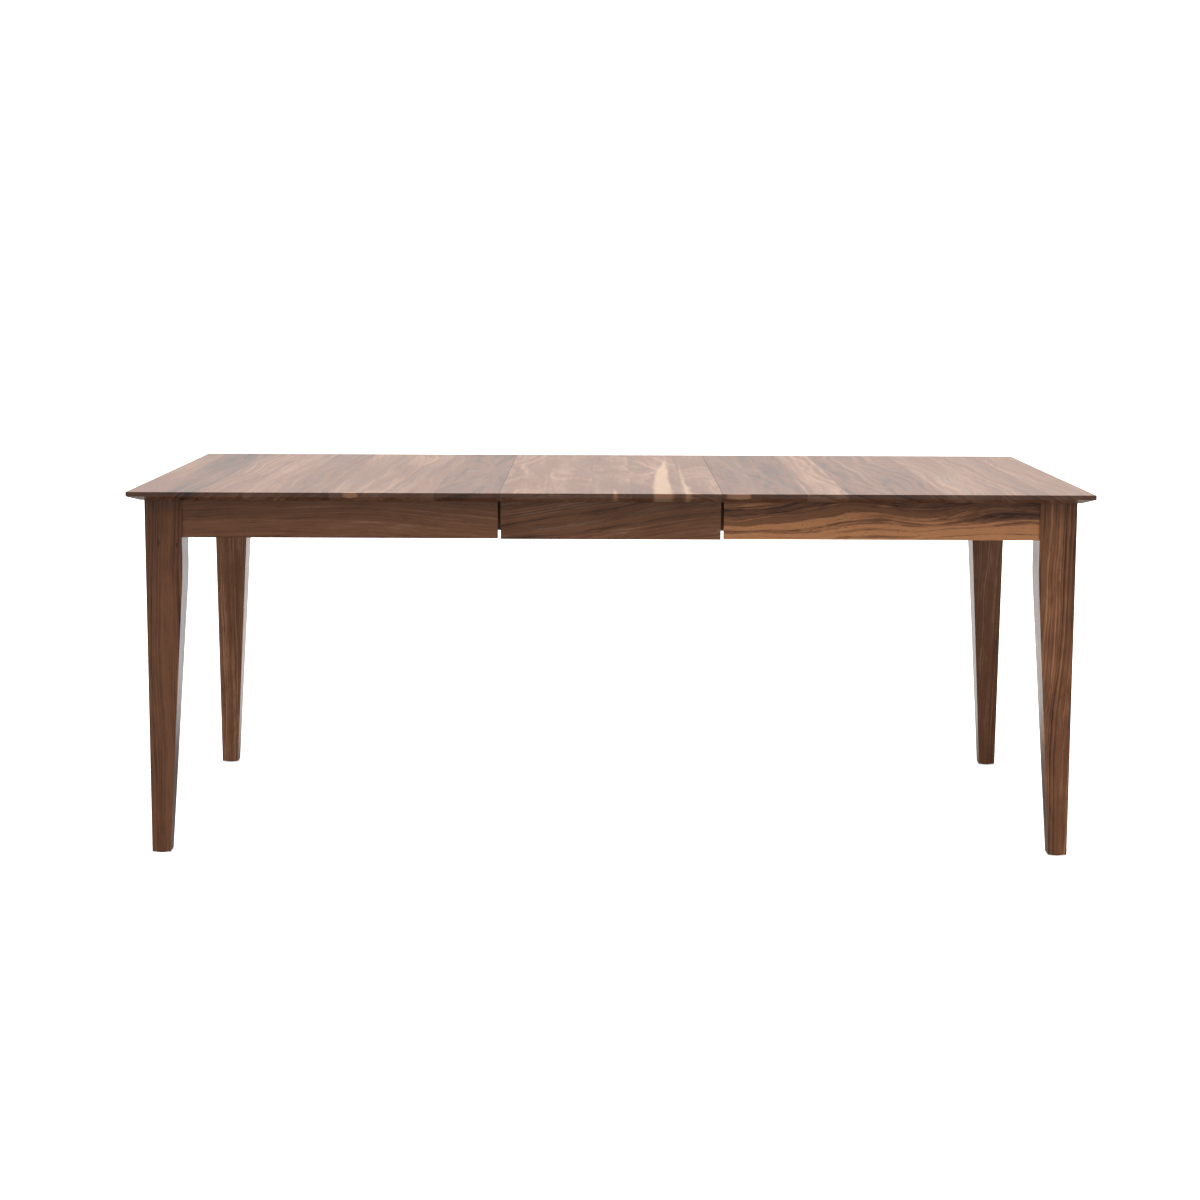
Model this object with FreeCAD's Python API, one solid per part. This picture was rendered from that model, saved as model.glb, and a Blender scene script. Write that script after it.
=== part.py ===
"""Extending dining table in solid walnut, shown with its one leaf in place.

Two halves, each a top on two legs and three aprons, slide apart on a front and a rear set of wooden rails.
Each set has a left rail, a centre rail and a right rail, tied by steel T guides. A pinion in the centre rail
meshes with a rack on each side, so both halves always open by the same amount. The leaf lies on the centre
rails, is lined up by pins in its long edges, and is held by four swing locks.

Millimetres. +X runs along the table to the right, +Y to the rear, +Z up. The origin is on the floor at the
middle of the table.
"""

import FreeCAD
import Part

import math
import os

V = FreeCAD.Vector
UP = V(0, 0, 1)
SIDES = {"left": -1, "right": 1}
ROWS = {"front": -1, "rear": 1}

# Overall sizes
TABLE_HEIGHT = 762.0
TABLE_WIDTH = 1016.0
HALF_LENGTH = 762.0
LEAF_LENGTH = 457.2
SEAM_GAP = 0.3

# Tops
TOP_THICKNESS = 19.0
EDGE_FACE = 9.5
BEVEL_RUN = 25.4
ARRIS_RADIUS = 0.8

# Legs, glides and their bolts
OVERHANG = 31.75
LEG_SIZE = 76.2
FOOT_SIZE = 38.1
TAPER_START = 590.0
KNEE_RADIUS = 900.0
LEG_ARRIS = 1.5
LEG_FLAT = 10.0
GLIDE_RADIUS = 15.0
GLIDE_HEIGHT = 2.5
GLIDE_NAIL_RADIUS = 1.5
GLIDE_NAIL_LENGTH = 16.0
BOLT_RADIUS = 4.0
BOLT_IN_LEG = 42.0
BOLT_PAST_NUT = 5.0
BOLT_EDGE = 20.0
NUT_FLATS = 13.0
NUT_HEIGHT = 7.0
FLANGE_RADIUS = 9.0
FLANGE_HEIGHT = 1.5

# Aprons and corner blocks
APRON_SETBACK = 4.0
APRON_THICKNESS = 22.0
APRON_DEPTH = 78.0
APRON_SEAM_SPACE = 4.0
LEAF_APRON_DEPTH = 79.0
LEAF_APRON_SEAM_SPACE = 1.6
BLOCK_THICKNESS = 25.0
BLOCK_HEIGHT = 64.0
BLOCK_LEG_SPACE = 5.0
GLUE_BLOCK_SIZE = 20.0
GLUE_BLOCK_LENGTH = 70.0
GLUE_BLOCK_PITCH = 150.0
GLUE_BLOCK_CHAMFER = 8.0

# Slides
RAIL_HEIGHT = 70.0
RAIL_THICKNESS = 22.0
CENTRE_RAIL_THICKNESS = 24.0
RAIL_SPACE = 1.0
RAIL_RELIEF = 0.6
RAIL_END_SPACE = 200.0
RAIL_INSET = 65.0
EXTRA_TRAVEL = 50.8
GUIDE_DROP = 21.0
GUIDE_WEB = 4.0
GUIDE_HEAD_HEIGHT = 10.0
GUIDE_HEAD_DEPTH = 3.0
GUIDE_ROOT = 5.0
GUIDE_REACH = 2.0
GUIDE_RUNNING_GAP = 0.3
GUIDE_END_SPACE = 20.0
STOP_RADIUS = 3.0
STOP_SPACE = 0.3
STOP_FROM_END = 21.55
RAIL_SCREW_RADIUS = 2.5
RAIL_SCREW_HEAD_RADIUS = 5.0
RAIL_SCREW_HEAD_HEIGHT = 3.0
RAIL_SCREW_SEAT = 44.0
RAIL_SCREW_IN_TOP = 12.0
RAIL_SCREW_END = 40.0
RAIL_SCREW_COUNT = 4

# Rack and pinion
GEAR_MODULE = 2.0
PINION_TEETH = 18
PRESSURE_ANGLE = math.radians(20.0)
GEAR_BACKLASH = 0.25
DEDENDUM = 1.25
GEAR_THICKNESS = 8.0
GEAR_RISE = 17.0
GEAR_POCKET_SPACE = 0.5
FLANK_STEPS = 6
RACK_BACKING = 5.5
RACK_OVERRUN = 20.0
AXLE_RADIUS = 3.0
AXLE_RUNNING_GAP = 0.05
AXLE_ABOVE_GEAR = 16.0
AXLE_HEAD_RADIUS = 6.0
AXLE_HEAD_HEIGHT = 2.0

# Clips under the tops
CLIP_LEG = 25.0
CLIP_WIDTH = 20.0
CLIP_STEEL = 2.0
CLIP_HOLE_AT = 15.0
CLIP_FROM_SEAM = 80.0
CLIP_FROM_BLOCK = 35.0
SIDE_CLIPS = 3
END_CLIPS = 2

# Wood screws
SCREW_RADIUS = 2.0
SCREW_LENGTH = 14.0
SCREW_HEAD_RADIUS = 4.0
SCREW_HEAD_HEIGHT = 2.0
SCREW_POINT = 4.0
WOOD_GAP = 0.05
PLATE_HOLE_GAP = 0.2

# Pins in the long edges of the tops and the leaf
PIN_RADIUS = 4.0
PIN_IN_WOOD = 15.0
PIN_REACH = 11.0
PIN_NOSE = 1.5
PIN_RUNNING_GAP = 0.15
SOCKET_WALL = 1.5
SOCKET_DEPTH = 14.0
PIN_MIDDLE = 90.0
PIN_FROM_SIDE = 78.0

# Swing locks
LOCK_FROM_MIDDLE = 165.0
LOCK_FROM_SEAM = 24.0
LOCK_ARM = 40.0
LOCK_STEEL = 2.0
LOCK_PLATE_LENGTH = 40.0
LOCK_PLATE_WIDTH = 56.0
LEVER_THICKNESS = 3.0
LEVER_SPACE = 0.3
LEVER_OVER_SCREWS = 0.5
LEVER_HUB_RADIUS = 11.0
LEVER_ARM_WIDTH = 12.0
LEVER_HEAD_INNER = 28.0
LEVER_HEAD_OUTER = 50.0
LEVER_LEAD = 16.0
LEVER_TRAIL = 18.0
LEVER_TAIL = 34.0
LEVER_TAB_HEIGHT = 9.0
PIVOT_RADIUS = 4.0
PIVOT_RUNNING_GAP = 0.05
PIVOT_COLLAR_RADIUS = 7.0
PIVOT_HEAD_RADIUS = 7.0
PIVOT_HEAD_HEIGHT = 2.0
STUD_RADIUS = 4.0
STUD_SPACE = 0.4
STUD_HEAD_RADIUS = 6.5
KEEPER_LENGTH = 20.0
KEEPER_WIDTH = 46.0
LOCK_SCREW_EDGE = 7.0

# Places worked out from the sizes above
SEAM_X = LEAF_LENGTH / 2
END_X = SEAM_X + HALF_LENGTH
SIDE_Y = TABLE_WIDTH / 2
UNDER_Z = TABLE_HEIGHT - TOP_THICKNESS
LEG_X = END_X - OVERHANG
LEG_Y = SIDE_Y - OVERHANG
LEG_INNER_X = LEG_X - LEG_SIZE
LEG_INNER_Y = LEG_Y - LEG_SIZE
APRON_X = LEG_X - APRON_SETBACK
APRON_Y = LEG_Y - APRON_SETBACK
APRON_INNER_X = APRON_X - APRON_THICKNESS
APRON_INNER_Y = APRON_Y - APRON_THICKNESS
APRON_BOTTOM = UNDER_Z - APRON_DEPTH
RAIL_BOTTOM = UNDER_Z - RAIL_HEIGHT
RAIL_REACH = APRON_INNER_X - SEAM_X - RAIL_END_SPACE
RAIL_Y = APRON_INNER_Y - RAIL_INSET - RAIL_THICKNESS - RAIL_SPACE - CENTRE_RAIL_THICKNESS / 2
RAIL_FACE = CENTRE_RAIL_THICKNESS / 2 + RAIL_SPACE
STOP_X = RAIL_REACH - SEAM_X - STOP_FROM_END
GUIDE_INNER_END = STOP_X - STOP_RADIUS - STOP_SPACE - EXTRA_TRAVEL
GUIDE_Z = UNDER_Z - GUIDE_DROP
GEAR_Z = RAIL_BOTTOM + GEAR_RISE
PITCH_RADIUS = GEAR_MODULE * PINION_TEETH / 2
TOOTH_PITCH = math.pi * GEAR_MODULE
TIP_RADIUS = PITCH_RADIUS + GEAR_MODULE
ROOT_RADIUS = PITCH_RADIUS - DEDENDUM * GEAR_MODULE
RACK_BACK = PITCH_RADIUS + DEDENDUM * GEAR_MODULE + RACK_BACKING
PIN_Z = TABLE_HEIGHT - TOP_THICKNESS / 2
SOCKET_RADIUS = PIN_RADIUS + PIN_RUNNING_GAP + SOCKET_WALL
LEVER_TOP = UNDER_Z - LOCK_STEEL - SCREW_HEAD_HEIGHT - LEVER_OVER_SCREWS
LEVER_BOTTOM = LEVER_TOP - LEVER_THICKNESS
PIVOT_END = LEVER_BOTTOM - LEVER_SPACE - PIVOT_HEAD_HEIGHT


# Plain solids

def box(x0, x1, y0, y1, z0, z1):
    """A block between two corners, given in any order."""
    low = V(min(x0, x1), min(y0, y1), min(z0, z1))
    return Part.makeBox(abs(x1 - x0), abs(y1 - y0), abs(z1 - z0), low)


def rod(radius, start, direction, length):
    return Part.makeCylinder(radius, length, start, direction)


def prism(outline, travel):
    """A closed outline of points, swept along a vector."""
    wire = Part.makePolygon(outline + [outline[0]])
    return Part.Face(wire).extrude(travel)


def join(shapes):
    """One solid from shapes that touch or overlap."""
    return shapes[0].fuse(shapes[1:]).removeSplitter()


def cut(shape, tools):
    """The shape without the tools, if there are any."""
    return shape.cut(tools) if tools else shape


def edges_where(shape, test):
    """The shape's edges whose middle point and bounding box pass a test."""
    return [e for e in shape.Edges if test(e.CenterOfMass, e.BoundBox)]


# Fasteners. A fastener's place is its seat: a point and the direction in which it is driven.

def wood_screw(seat, into):
    """A pan-head screw whose head bears on the seat."""
    head = rod(SCREW_HEAD_RADIUS, seat - into * SCREW_HEAD_HEIGHT, into, SCREW_HEAD_HEIGHT)
    shank_length = SCREW_LENGTH - SCREW_POINT
    shank = rod(SCREW_RADIUS, seat, into, shank_length)
    point = Part.makeCone(SCREW_RADIUS, SCREW_RADIUS / 5, SCREW_POINT, seat + into * shank_length, into)
    return join([head, shank, point])


def screw_hole(seat, into):
    """What a wood screw takes out of the wood past its seat."""
    return rod(SCREW_RADIUS + WOOD_GAP, seat, into, SCREW_LENGTH + WOOD_GAP)


def plate_hole(seat, into, thickness):
    """The hole for a wood screw in a steel plate that ends at the seat."""
    return rod(SCREW_RADIUS + PLATE_HOLE_GAP, seat, into, thickness)


def rail_screw(foot):
    """A long screw driven up through a rail into the top. The foot is on the rail's lower face."""
    seat = foot + UP * (RAIL_HEIGHT - RAIL_SCREW_SEAT)
    head = rod(RAIL_SCREW_HEAD_RADIUS, seat - UP * RAIL_SCREW_HEAD_HEIGHT, UP, RAIL_SCREW_HEAD_HEIGHT)
    shank = rod(RAIL_SCREW_RADIUS, seat, UP, RAIL_SCREW_SEAT + RAIL_SCREW_IN_TOP)
    return join([head, shank])


def rail_screw_hole(foot):
    """The counterbore and clearance hole of a rail screw, as deep as the screw goes."""
    seat_rise = RAIL_HEIGHT - RAIL_SCREW_SEAT
    counterbore = rod(RAIL_SCREW_HEAD_RADIUS + PLATE_HOLE_GAP, foot, UP, seat_rise)
    length = RAIL_HEIGHT + RAIL_SCREW_IN_TOP + WOOD_GAP
    return join([counterbore, rod(RAIL_SCREW_RADIUS + WOOD_GAP, foot, UP, length)])


# Tops and leaf

def bevel_tool(start, along, outward, length):
    """The wedge planed off under one edge. The start is on the edge's lower corner."""
    drop = UP * (TOP_THICKNESS - EDGE_FACE)
    outline = [start, start - outward * BEVEL_RUN, start + drop]
    return prism(outline, along * length)


def side_bevels(x0, x1):
    """The two bevel wedges under the front and rear edges, from x0 to x1."""
    low, length = min(x0, x1), abs(x1 - x0)
    return [
        bevel_tool(V(low, row * SIDE_Y, UNDER_Z), V(1, 0, 0), V(0, row, 0), length)
        for row in ROWS.values()
    ]


def is_top_arris(middle, bounds):
    return bounds.ZLength < 1e-6 and abs(middle.z - TABLE_HEIGHT) < 1e-6


def half_top(side):
    """A half's top, beveled under its end and its long edges, and square at the seam."""
    panel = box(side * SEAM_X, side * END_X, -SIDE_Y, SIDE_Y, UNDER_Z, TABLE_HEIGHT)
    end = bevel_tool(V(side * END_X, -SIDE_Y, UNDER_Z), V(0, 1, 0), V(side, 0, 0), TABLE_WIDTH)
    panel = panel.cut(side_bevels(side * SEAM_X, side * END_X) + [end])
    rim = edges_where(
        panel, lambda m, b: is_top_arris(m, b) and abs(m.x - side * SEAM_X) > 1e-6
    )
    return panel.makeFillet(ARRIS_RADIUS, rim)


def leaf_top():
    """The leaf, beveled under its front and rear edges, and square at both seams."""
    reach = SEAM_X - SEAM_GAP
    panel = box(-reach, reach, -SIDE_Y, SIDE_Y, UNDER_Z, TABLE_HEIGHT)
    panel = panel.cut(side_bevels(-reach, reach))
    rim = edges_where(panel, lambda m, b: is_top_arris(m, b) and abs(abs(m.y) - SIDE_Y) < 1e-6)
    return panel.makeFillet(ARRIS_RADIUS, rim)


# Legs

def taper_tool(corner, inward, across):
    """What the taper takes off one inner face of a leg: a straight slope that meets the face in a long arc.

    The corner is the leg's outer corner on the floor, inward points to the inner face, and across along it.
    """
    taper = LEG_SIZE - FOOT_SIZE
    slope = math.atan2(taper, TAPER_START)
    tangent = KNEE_RADIUS * math.tan(slope / 2)
    past = LEG_SIZE + APRON_THICKNESS

    def at(reach, height):
        return corner + inward * reach + UP * height

    foot = at(FOOT_SIZE, 0)
    slope_end = at(LEG_SIZE - tangent * math.sin(slope), TAPER_START - tangent * math.cos(slope))
    centre = at(LEG_SIZE - KNEE_RADIUS, TAPER_START + tangent)
    half_turn = slope / 2
    arc_middle = centre + inward * (KNEE_RADIUS * math.cos(half_turn)) - UP * (KNEE_RADIUS * math.sin(half_turn))
    arc_end = at(LEG_SIZE, TAPER_START + tangent)
    outline = Part.Wire([
        Part.LineSegment(foot, slope_end).toShape(),
        Part.Arc(slope_end, arc_middle, arc_end).toShape(),
        Part.LineSegment(arc_end, at(past, TAPER_START + tangent)).toShape(),
        Part.LineSegment(at(past, TAPER_START + tangent), at(past, 0)).toShape(),
        Part.LineSegment(at(past, 0), foot).toShape(),
    ])
    return Part.Face(outline).extrude(across * LEG_SIZE)


def leg(side, row):
    """A leg with plumb outer faces, tapered on its two inner faces, its inner corner flattened for the bolts."""
    corner = V(side * LEG_X, row * LEG_Y, 0)
    post = box(side * LEG_X, side * LEG_INNER_X, row * LEG_Y, row * LEG_INNER_Y, GLIDE_HEIGHT, UNDER_Z)
    in_x, in_y = V(-side, 0, 0), V(0, -row, 0)
    post = post.cut([taper_tool(corner, in_x, in_y), taper_tool(corner, in_y, in_x)])
    outer = edges_where(
        post,
        lambda m, b: abs(m.x - side * LEG_X) < 1e-6 and abs(m.y - row * LEG_Y) < 1e-6,
    )
    post = post.makeFillet(LEG_ARRIS, outer)
    inner = V(side * LEG_INNER_X, row * LEG_INNER_Y, APRON_BOTTOM)
    flat = prism([inner, inner - in_x * LEG_FLAT, inner - in_y * LEG_FLAT], UP * APRON_DEPTH)
    post = post.cut([flat] + [bolt_hole(side, row, z) for z in bolt_heights()])
    return post.cut(glide_nail(side, row, WOOD_GAP))


def glide_centre(side, row):
    """The middle of a foot, on the floor."""
    return V(side * (LEG_X - FOOT_SIZE / 2), row * (LEG_Y - FOOT_SIZE / 2), 0)


def glide_nail(side, row, gap):
    """The nail of a glide, grown by a gap for its hole in the leg."""
    start = glide_centre(side, row) + UP * GLIDE_HEIGHT
    return rod(GLIDE_NAIL_RADIUS + gap, start, UP, GLIDE_NAIL_LENGTH + gap)


def glide(side, row):
    """A nylon pad nailed under a foot."""
    pad = rod(GLIDE_RADIUS, glide_centre(side, row), UP, GLIDE_HEIGHT)
    return join([pad, glide_nail(side, row, 0)])


# Corner blocks and the bolts that draw the legs into the corners

def diagonal(side, row):
    """The direction from a corner block out to its leg."""
    return V(side, row, 0).normalize()


def block_near():
    """How far a block's leg-side face is from the aprons' inner corner, along the diagonal."""
    to_leg = (APRON_INNER_X - LEG_INNER_X + APRON_INNER_Y - LEG_INNER_Y) / math.sqrt(2)
    return to_leg + BLOCK_LEG_SPACE


def block_far():
    """How far a block reaches along each apron from the aprons' inner corner."""
    return (block_near() + BLOCK_THICKNESS) * math.sqrt(2)


def inside_corner(side, row, inwards, height):
    """A point on the diagonal of a corner, a distance inwards from where the aprons' inner faces meet."""
    corner = V(side * APRON_INNER_X, row * APRON_INNER_Y, height)
    return corner - diagonal(side, row) * inwards


def bolt_heights():
    middle = UNDER_Z - BLOCK_HEIGHT / 2
    reach = BLOCK_HEIGHT / 2 - BOLT_EDGE
    return [middle - reach, middle + reach]


def bolt_hole(side, row, height):
    """The hole of a hanger bolt in the leg."""
    start = inside_corner(side, row, block_near() + BLOCK_THICKNESS, height)
    length = BLOCK_THICKNESS + BLOCK_LEG_SPACE + BOLT_IN_LEG + WOOD_GAP
    return rod(BOLT_RADIUS + WOOD_GAP, start, diagonal(side, row), length)


def hanger_bolt(side, row, height):
    outside = block_near() + BLOCK_THICKNESS + FLANGE_HEIGHT + NUT_HEIGHT + BOLT_PAST_NUT
    length = outside - block_near() + BLOCK_LEG_SPACE + BOLT_IN_LEG
    bolt = rod(BOLT_RADIUS, inside_corner(side, row, outside, height), diagonal(side, row), length)
    return bolt.makeChamfer(BOLT_RADIUS / 4, edges_where(bolt, lambda m, b: b.ZLength > BOLT_RADIUS))


def flange_nut(side, row, height):
    """A hexagon nut on a round flange, bearing on a corner block."""
    out = diagonal(side, row)
    seat = inside_corner(side, row, block_near() + BLOCK_THICKNESS, height)
    flange = rod(FLANGE_RADIUS, seat, out * -1, FLANGE_HEIGHT)
    across = V(-out.y, out.x, 0)
    corner_radius = NUT_FLATS / math.sqrt(3)
    start = seat - out * FLANGE_HEIGHT
    turns = [math.radians(60 * k) for k in range(6)]
    outline = [start + (across * math.cos(t) + UP * math.sin(t)) * corner_radius for t in turns]
    nut = join([flange, prism(outline, out * -NUT_HEIGHT)])
    return nut.cut(rod(BOLT_RADIUS + WOOD_GAP, seat, out * -1, FLANGE_HEIGHT + NUT_HEIGHT))


def corner_block(side, row):
    """A block across a corner, cut at 45 degrees to seat on both aprons."""
    near, far = block_near() * math.sqrt(2), block_far()
    corner = V(side * APRON_INNER_X, row * APRON_INNER_Y, UNDER_Z - BLOCK_HEIGHT)
    in_x, in_y = V(-side, 0, 0), V(0, -row, 0)
    outline = [corner + in_y * near, corner + in_y * far, corner + in_x * far, corner + in_x * near]
    block = prism(outline, UP * BLOCK_HEIGHT)
    return block.cut([bolt_hole(side, row, z) for z in bolt_heights()])


# Aprons

def end_apron(side):
    return box(side * APRON_X, side * APRON_INNER_X, -LEG_INNER_Y, LEG_INNER_Y, APRON_BOTTOM, UNDER_Z)


def side_apron(side, row):
    seam_end = side * (SEAM_X + APRON_SEAM_SPACE)
    return box(side * LEG_INNER_X, seam_end, row * APRON_Y, row * APRON_INNER_Y, APRON_BOTTOM, UNDER_Z)


def leaf_apron(row):
    reach = SEAM_X - SEAM_GAP - LEAF_APRON_SEAM_SPACE
    return box(-reach, reach, row * APRON_Y, row * APRON_INNER_Y, UNDER_Z - LEAF_APRON_DEPTH, UNDER_Z)


def glue_block(row, x):
    """A chamfered block glued between the leaf and its apron."""
    half = GLUE_BLOCK_LENGTH / 2
    foot = V(x - half, row * APRON_INNER_Y, UNDER_Z - GLUE_BLOCK_SIZE)
    inward = V(0, -row, 0)
    kept = GLUE_BLOCK_SIZE - GLUE_BLOCK_CHAMFER
    outline = [
        foot,
        foot + inward * kept,
        foot + inward * GLUE_BLOCK_SIZE + UP * GLUE_BLOCK_CHAMFER,
        foot + inward * GLUE_BLOCK_SIZE + UP * GLUE_BLOCK_SIZE,
        foot + UP * GLUE_BLOCK_SIZE,
    ]
    return prism(outline, V(GLUE_BLOCK_LENGTH, 0, 0))


# Clips that hold the tops down on the aprons, and still let the wood move

def clip_places(side):
    """Each clip of a half: the point where apron and top meet, and the direction away from the apron."""
    first, last = SEAM_X + CLIP_FROM_SEAM, APRON_INNER_X - block_far() - CLIP_FROM_BLOCK
    step = (last - first) / (SIDE_CLIPS - 1)
    places = [
        (V(side * (first + step * k), row * APRON_INNER_Y, UNDER_Z), V(0, -row, 0))
        for row in ROWS.values()
        for k in range(SIDE_CLIPS)
    ]
    reach = APRON_INNER_Y - block_far() - CLIP_FROM_BLOCK
    step = 2 * reach / (END_CLIPS - 1)
    places += [
        (V(side * APRON_INNER_X, -reach + step * k, UNDER_Z), V(-side, 0, 0)) for k in range(END_CLIPS)
    ]
    return places


def clip_screw_seats(corner, away):
    """The seats of a clip's two screws, on the faces of the steel: one up into the top, one into the apron."""
    return [
        (corner + away * CLIP_HOLE_AT - UP * CLIP_STEEL, UP),
        (corner - UP * CLIP_HOLE_AT + away * CLIP_STEEL, away * -1),
    ]


def clip(corner, away):
    """A steel angle, one leg on the top and one on the apron."""
    along = V(-away.y, away.x, 0)
    start = corner - along * (CLIP_WIDTH / 2)
    outline = [
        start,
        start + away * CLIP_LEG,
        start + away * CLIP_LEG - UP * CLIP_STEEL,
        start + away * CLIP_STEEL - UP * CLIP_STEEL,
        start + away * CLIP_STEEL - UP * CLIP_LEG,
        start - UP * CLIP_LEG,
    ]
    angle = prism(outline, along * CLIP_WIDTH)
    return angle.cut([plate_hole(seat, into, CLIP_STEEL) for seat, into in clip_screw_seats(corner, away)])


# Rails, guides and stops. A rail set's own axis is at RAIL_Y, and outward is the side where the left rail runs.

def rail_slot(row, side, near, far, x0, x1, middle, height):
    """A slot in a side rail or the centre rail, from near to far off the set's axis."""
    y0, y1 = (row * RAIL_Y + row * -side * reach for reach in (near, far))
    return box(x0, x1, y0, y1, middle - height / 2, middle + height / 2)


def guide_slots(row, side, x0, x1):
    """The T groove along a side rail."""
    web_end = RAIL_FACE + GUIDE_REACH
    gap = GUIDE_RUNNING_GAP
    web = rail_slot(row, side, RAIL_FACE, web_end, x0, x1, GUIDE_Z, GUIDE_WEB + 2 * gap)
    head = rail_slot(
        row, side, web_end - gap, web_end + GUIDE_HEAD_DEPTH + gap, x0, x1, GUIDE_Z, GUIDE_HEAD_HEIGHT + 2 * gap
    )
    return [web, head]


def side_rail_ends(side):
    """The ends of a side rail along X, with the leaf in place."""
    middle = side * SEAM_X
    return middle - RAIL_REACH, middle + RAIL_REACH


def rail_screw_feet(side, row):
    """The feet of the screws that hold a side rail to its top."""
    first, last = SEAM_X + RAIL_SCREW_END, SEAM_X + RAIL_REACH - RAIL_SCREW_END
    step = (last - first) / (RAIL_SCREW_COUNT - 1)
    y = row * (RAIL_Y - side * (RAIL_FACE + RAIL_THICKNESS / 2))
    return [V(side * (first + step * k), y, RAIL_BOTTOM) for k in range(RAIL_SCREW_COUNT)]


def stop_pin(side, row, gap):
    """The pin that meets the end of the guide when the table is fully open, grown by a gap for its hole."""
    away = V(0, -side * row, 0)
    start = V(-side * STOP_X, row * RAIL_Y, GUIDE_Z) + away * (RAIL_FACE + WOOD_GAP)
    return rod(STOP_RADIUS + gap, start, away, RAIL_THICKNESS - WOOD_GAP)


def side_rail(side, row):
    """A rail screwed under its half, with a T groove for the guide and a slot for the rack.

    Where it runs on under the leaf and the other half, its upper face is eased so that it doesn't rub.
    """
    x0, x1 = side_rail_ends(side)
    near, far = RAIL_FACE, RAIL_FACE + RAIL_THICKNESS
    height = UNDER_Z - RAIL_BOTTOM
    rail = rail_slot(row, side, near, far, x0, x1, RAIL_BOTTOM + height / 2, height)
    free_end = x1 if side < 0 else x0
    relief = rail_slot(row, side, near, far, side * SEAM_X, free_end, UNDER_Z, 2 * RAIL_RELIEF)
    r0, r1 = rack_ends(side)
    rack_seat = rail_slot(row, side, RAIL_FACE, RACK_BACK, r0, r1, GEAR_Z, GEAR_THICKNESS)
    tools = guide_slots(row, side, x0, x1) + [relief, rack_seat, stop_pin(side, row, WOOD_GAP)]
    return rail.cut(tools + [rail_screw_hole(foot) for foot in rail_screw_feet(side, row)])


def guide_ends(side):
    """The ends of a guide along X: it stops short of the rail's outer end and runs in past the seam."""
    return side * (RAIL_REACH - GUIDE_END_SPACE), -side * GUIDE_INNER_END


def guide(side, row):
    """A steel T let into the centre rail, whose head runs in the groove of a side rail."""
    x0, x1 = guide_ends(side)
    face = CENTRE_RAIL_THICKNESS / 2
    web_end = RAIL_FACE + GUIDE_REACH
    web = rail_slot(row, side, face - GUIDE_ROOT, web_end, x0, x1, GUIDE_Z, GUIDE_WEB)
    head = rail_slot(row, side, web_end, web_end + GUIDE_HEAD_DEPTH, x0, x1, GUIDE_Z, GUIDE_HEAD_HEIGHT)
    return join([web, head])


def centre_rail(row):
    """The rail that carries the leaf, grooved for both guides and pocketed for the pinion."""
    half = CENTRE_RAIL_THICKNESS / 2
    y0, y1 = row * RAIL_Y - half, row * RAIL_Y + half
    rail = box(-RAIL_REACH, RAIL_REACH, y0, y1, RAIL_BOTTOM, UNDER_Z)
    tools = [
        rail_slot(row, side, half - GUIDE_ROOT, half, *guide_ends(side), GUIDE_Z, GUIDE_WEB)
        for side in SIDES.values()
    ]
    tools += [
        box(side * SEAM_X, side * RAIL_REACH, y0, y1, UNDER_Z - RAIL_RELIEF, UNDER_Z)
        for side in SIDES.values()
    ]
    pocket = TIP_RADIUS + GEAR_POCKET_SPACE
    floor, roof = GEAR_Z - GEAR_THICKNESS / 2, GEAR_Z + GEAR_THICKNESS / 2
    tools.append(box(-pocket, pocket, y0, y1, floor - GEAR_POCKET_SPACE, roof + GEAR_POCKET_SPACE))
    tools.append(pinion_axle(row, WOOD_GAP))
    return rail.cut(tools)


# Racks, pinions and axles

def flank_point(radius, half_angle_at_pitch):
    """Half the angle that a tooth takes up at a radius, on a true involute."""
    base = PITCH_RADIUS * math.cos(PRESSURE_ANGLE)
    angle = math.acos(min(1.0, base / radius))
    return half_angle_at_pitch + involute(PRESSURE_ANGLE) - involute(angle)


def involute(angle):
    return math.tan(angle) - angle


def pinion_outline(centre):
    """The pinion's teeth, one of them pointing along +Y and one along -Y."""
    half = (TOOTH_PITCH / 2 - GEAR_BACKLASH) / 2 / PITCH_RADIUS
    base = PITCH_RADIUS * math.cos(PRESSURE_ANGLE)
    start = max(base, ROOT_RADIUS)
    radii = [start + (TIP_RADIUS - start) * k / FLANK_STEPS for k in range(FLANK_STEPS + 1)]
    flank = [(ROOT_RADIUS, flank_point(start, half))] + [(r, flank_point(r, half)) for r in radii]
    tooth = [(r, -a) for r, a in flank] + [(r, a) for r, a in reversed(flank)]
    outline = []
    for k in range(PINION_TEETH):
        turn = math.pi / 2 + 2 * math.pi * k / PINION_TEETH
        outline += [centre + V(r * math.cos(turn + a), r * math.sin(turn + a), 0) for r, a in tooth]
    return outline


def pinion(row):
    """The gear between a set's two racks, on an upright axle."""
    centre = V(0, row * RAIL_Y, GEAR_Z - GEAR_THICKNESS / 2)
    gear = prism(pinion_outline(centre), UP * GEAR_THICKNESS)
    return gear.cut(rod(AXLE_RADIUS + AXLE_RUNNING_GAP, centre, UP, GEAR_THICKNESS))


def pinion_axle(row, gap):
    """A headed pin driven up through the centre rail, grown by a gap for its hole."""
    foot = V(0, row * RAIL_Y, RAIL_BOTTOM)
    head = rod(AXLE_HEAD_RADIUS + gap, foot, UP, AXLE_HEAD_HEIGHT)
    length = GEAR_RISE + GEAR_THICKNESS / 2 + AXLE_ABOVE_GEAR
    return join([head, rod(AXLE_RADIUS + gap, foot, UP, length + gap)])


def rack_ends(side):
    """The ends of a rack along X, long enough to stay in mesh from closed to fully open."""
    from_shut = side * (SEAM_X - LEAF_LENGTH / 2 - EXTRA_TRAVEL - RACK_OVERRUN)
    from_open = side * (LEAF_LENGTH / 2 + RACK_OVERRUN)
    return min(from_shut, from_open), max(from_shut, from_open)


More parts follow.
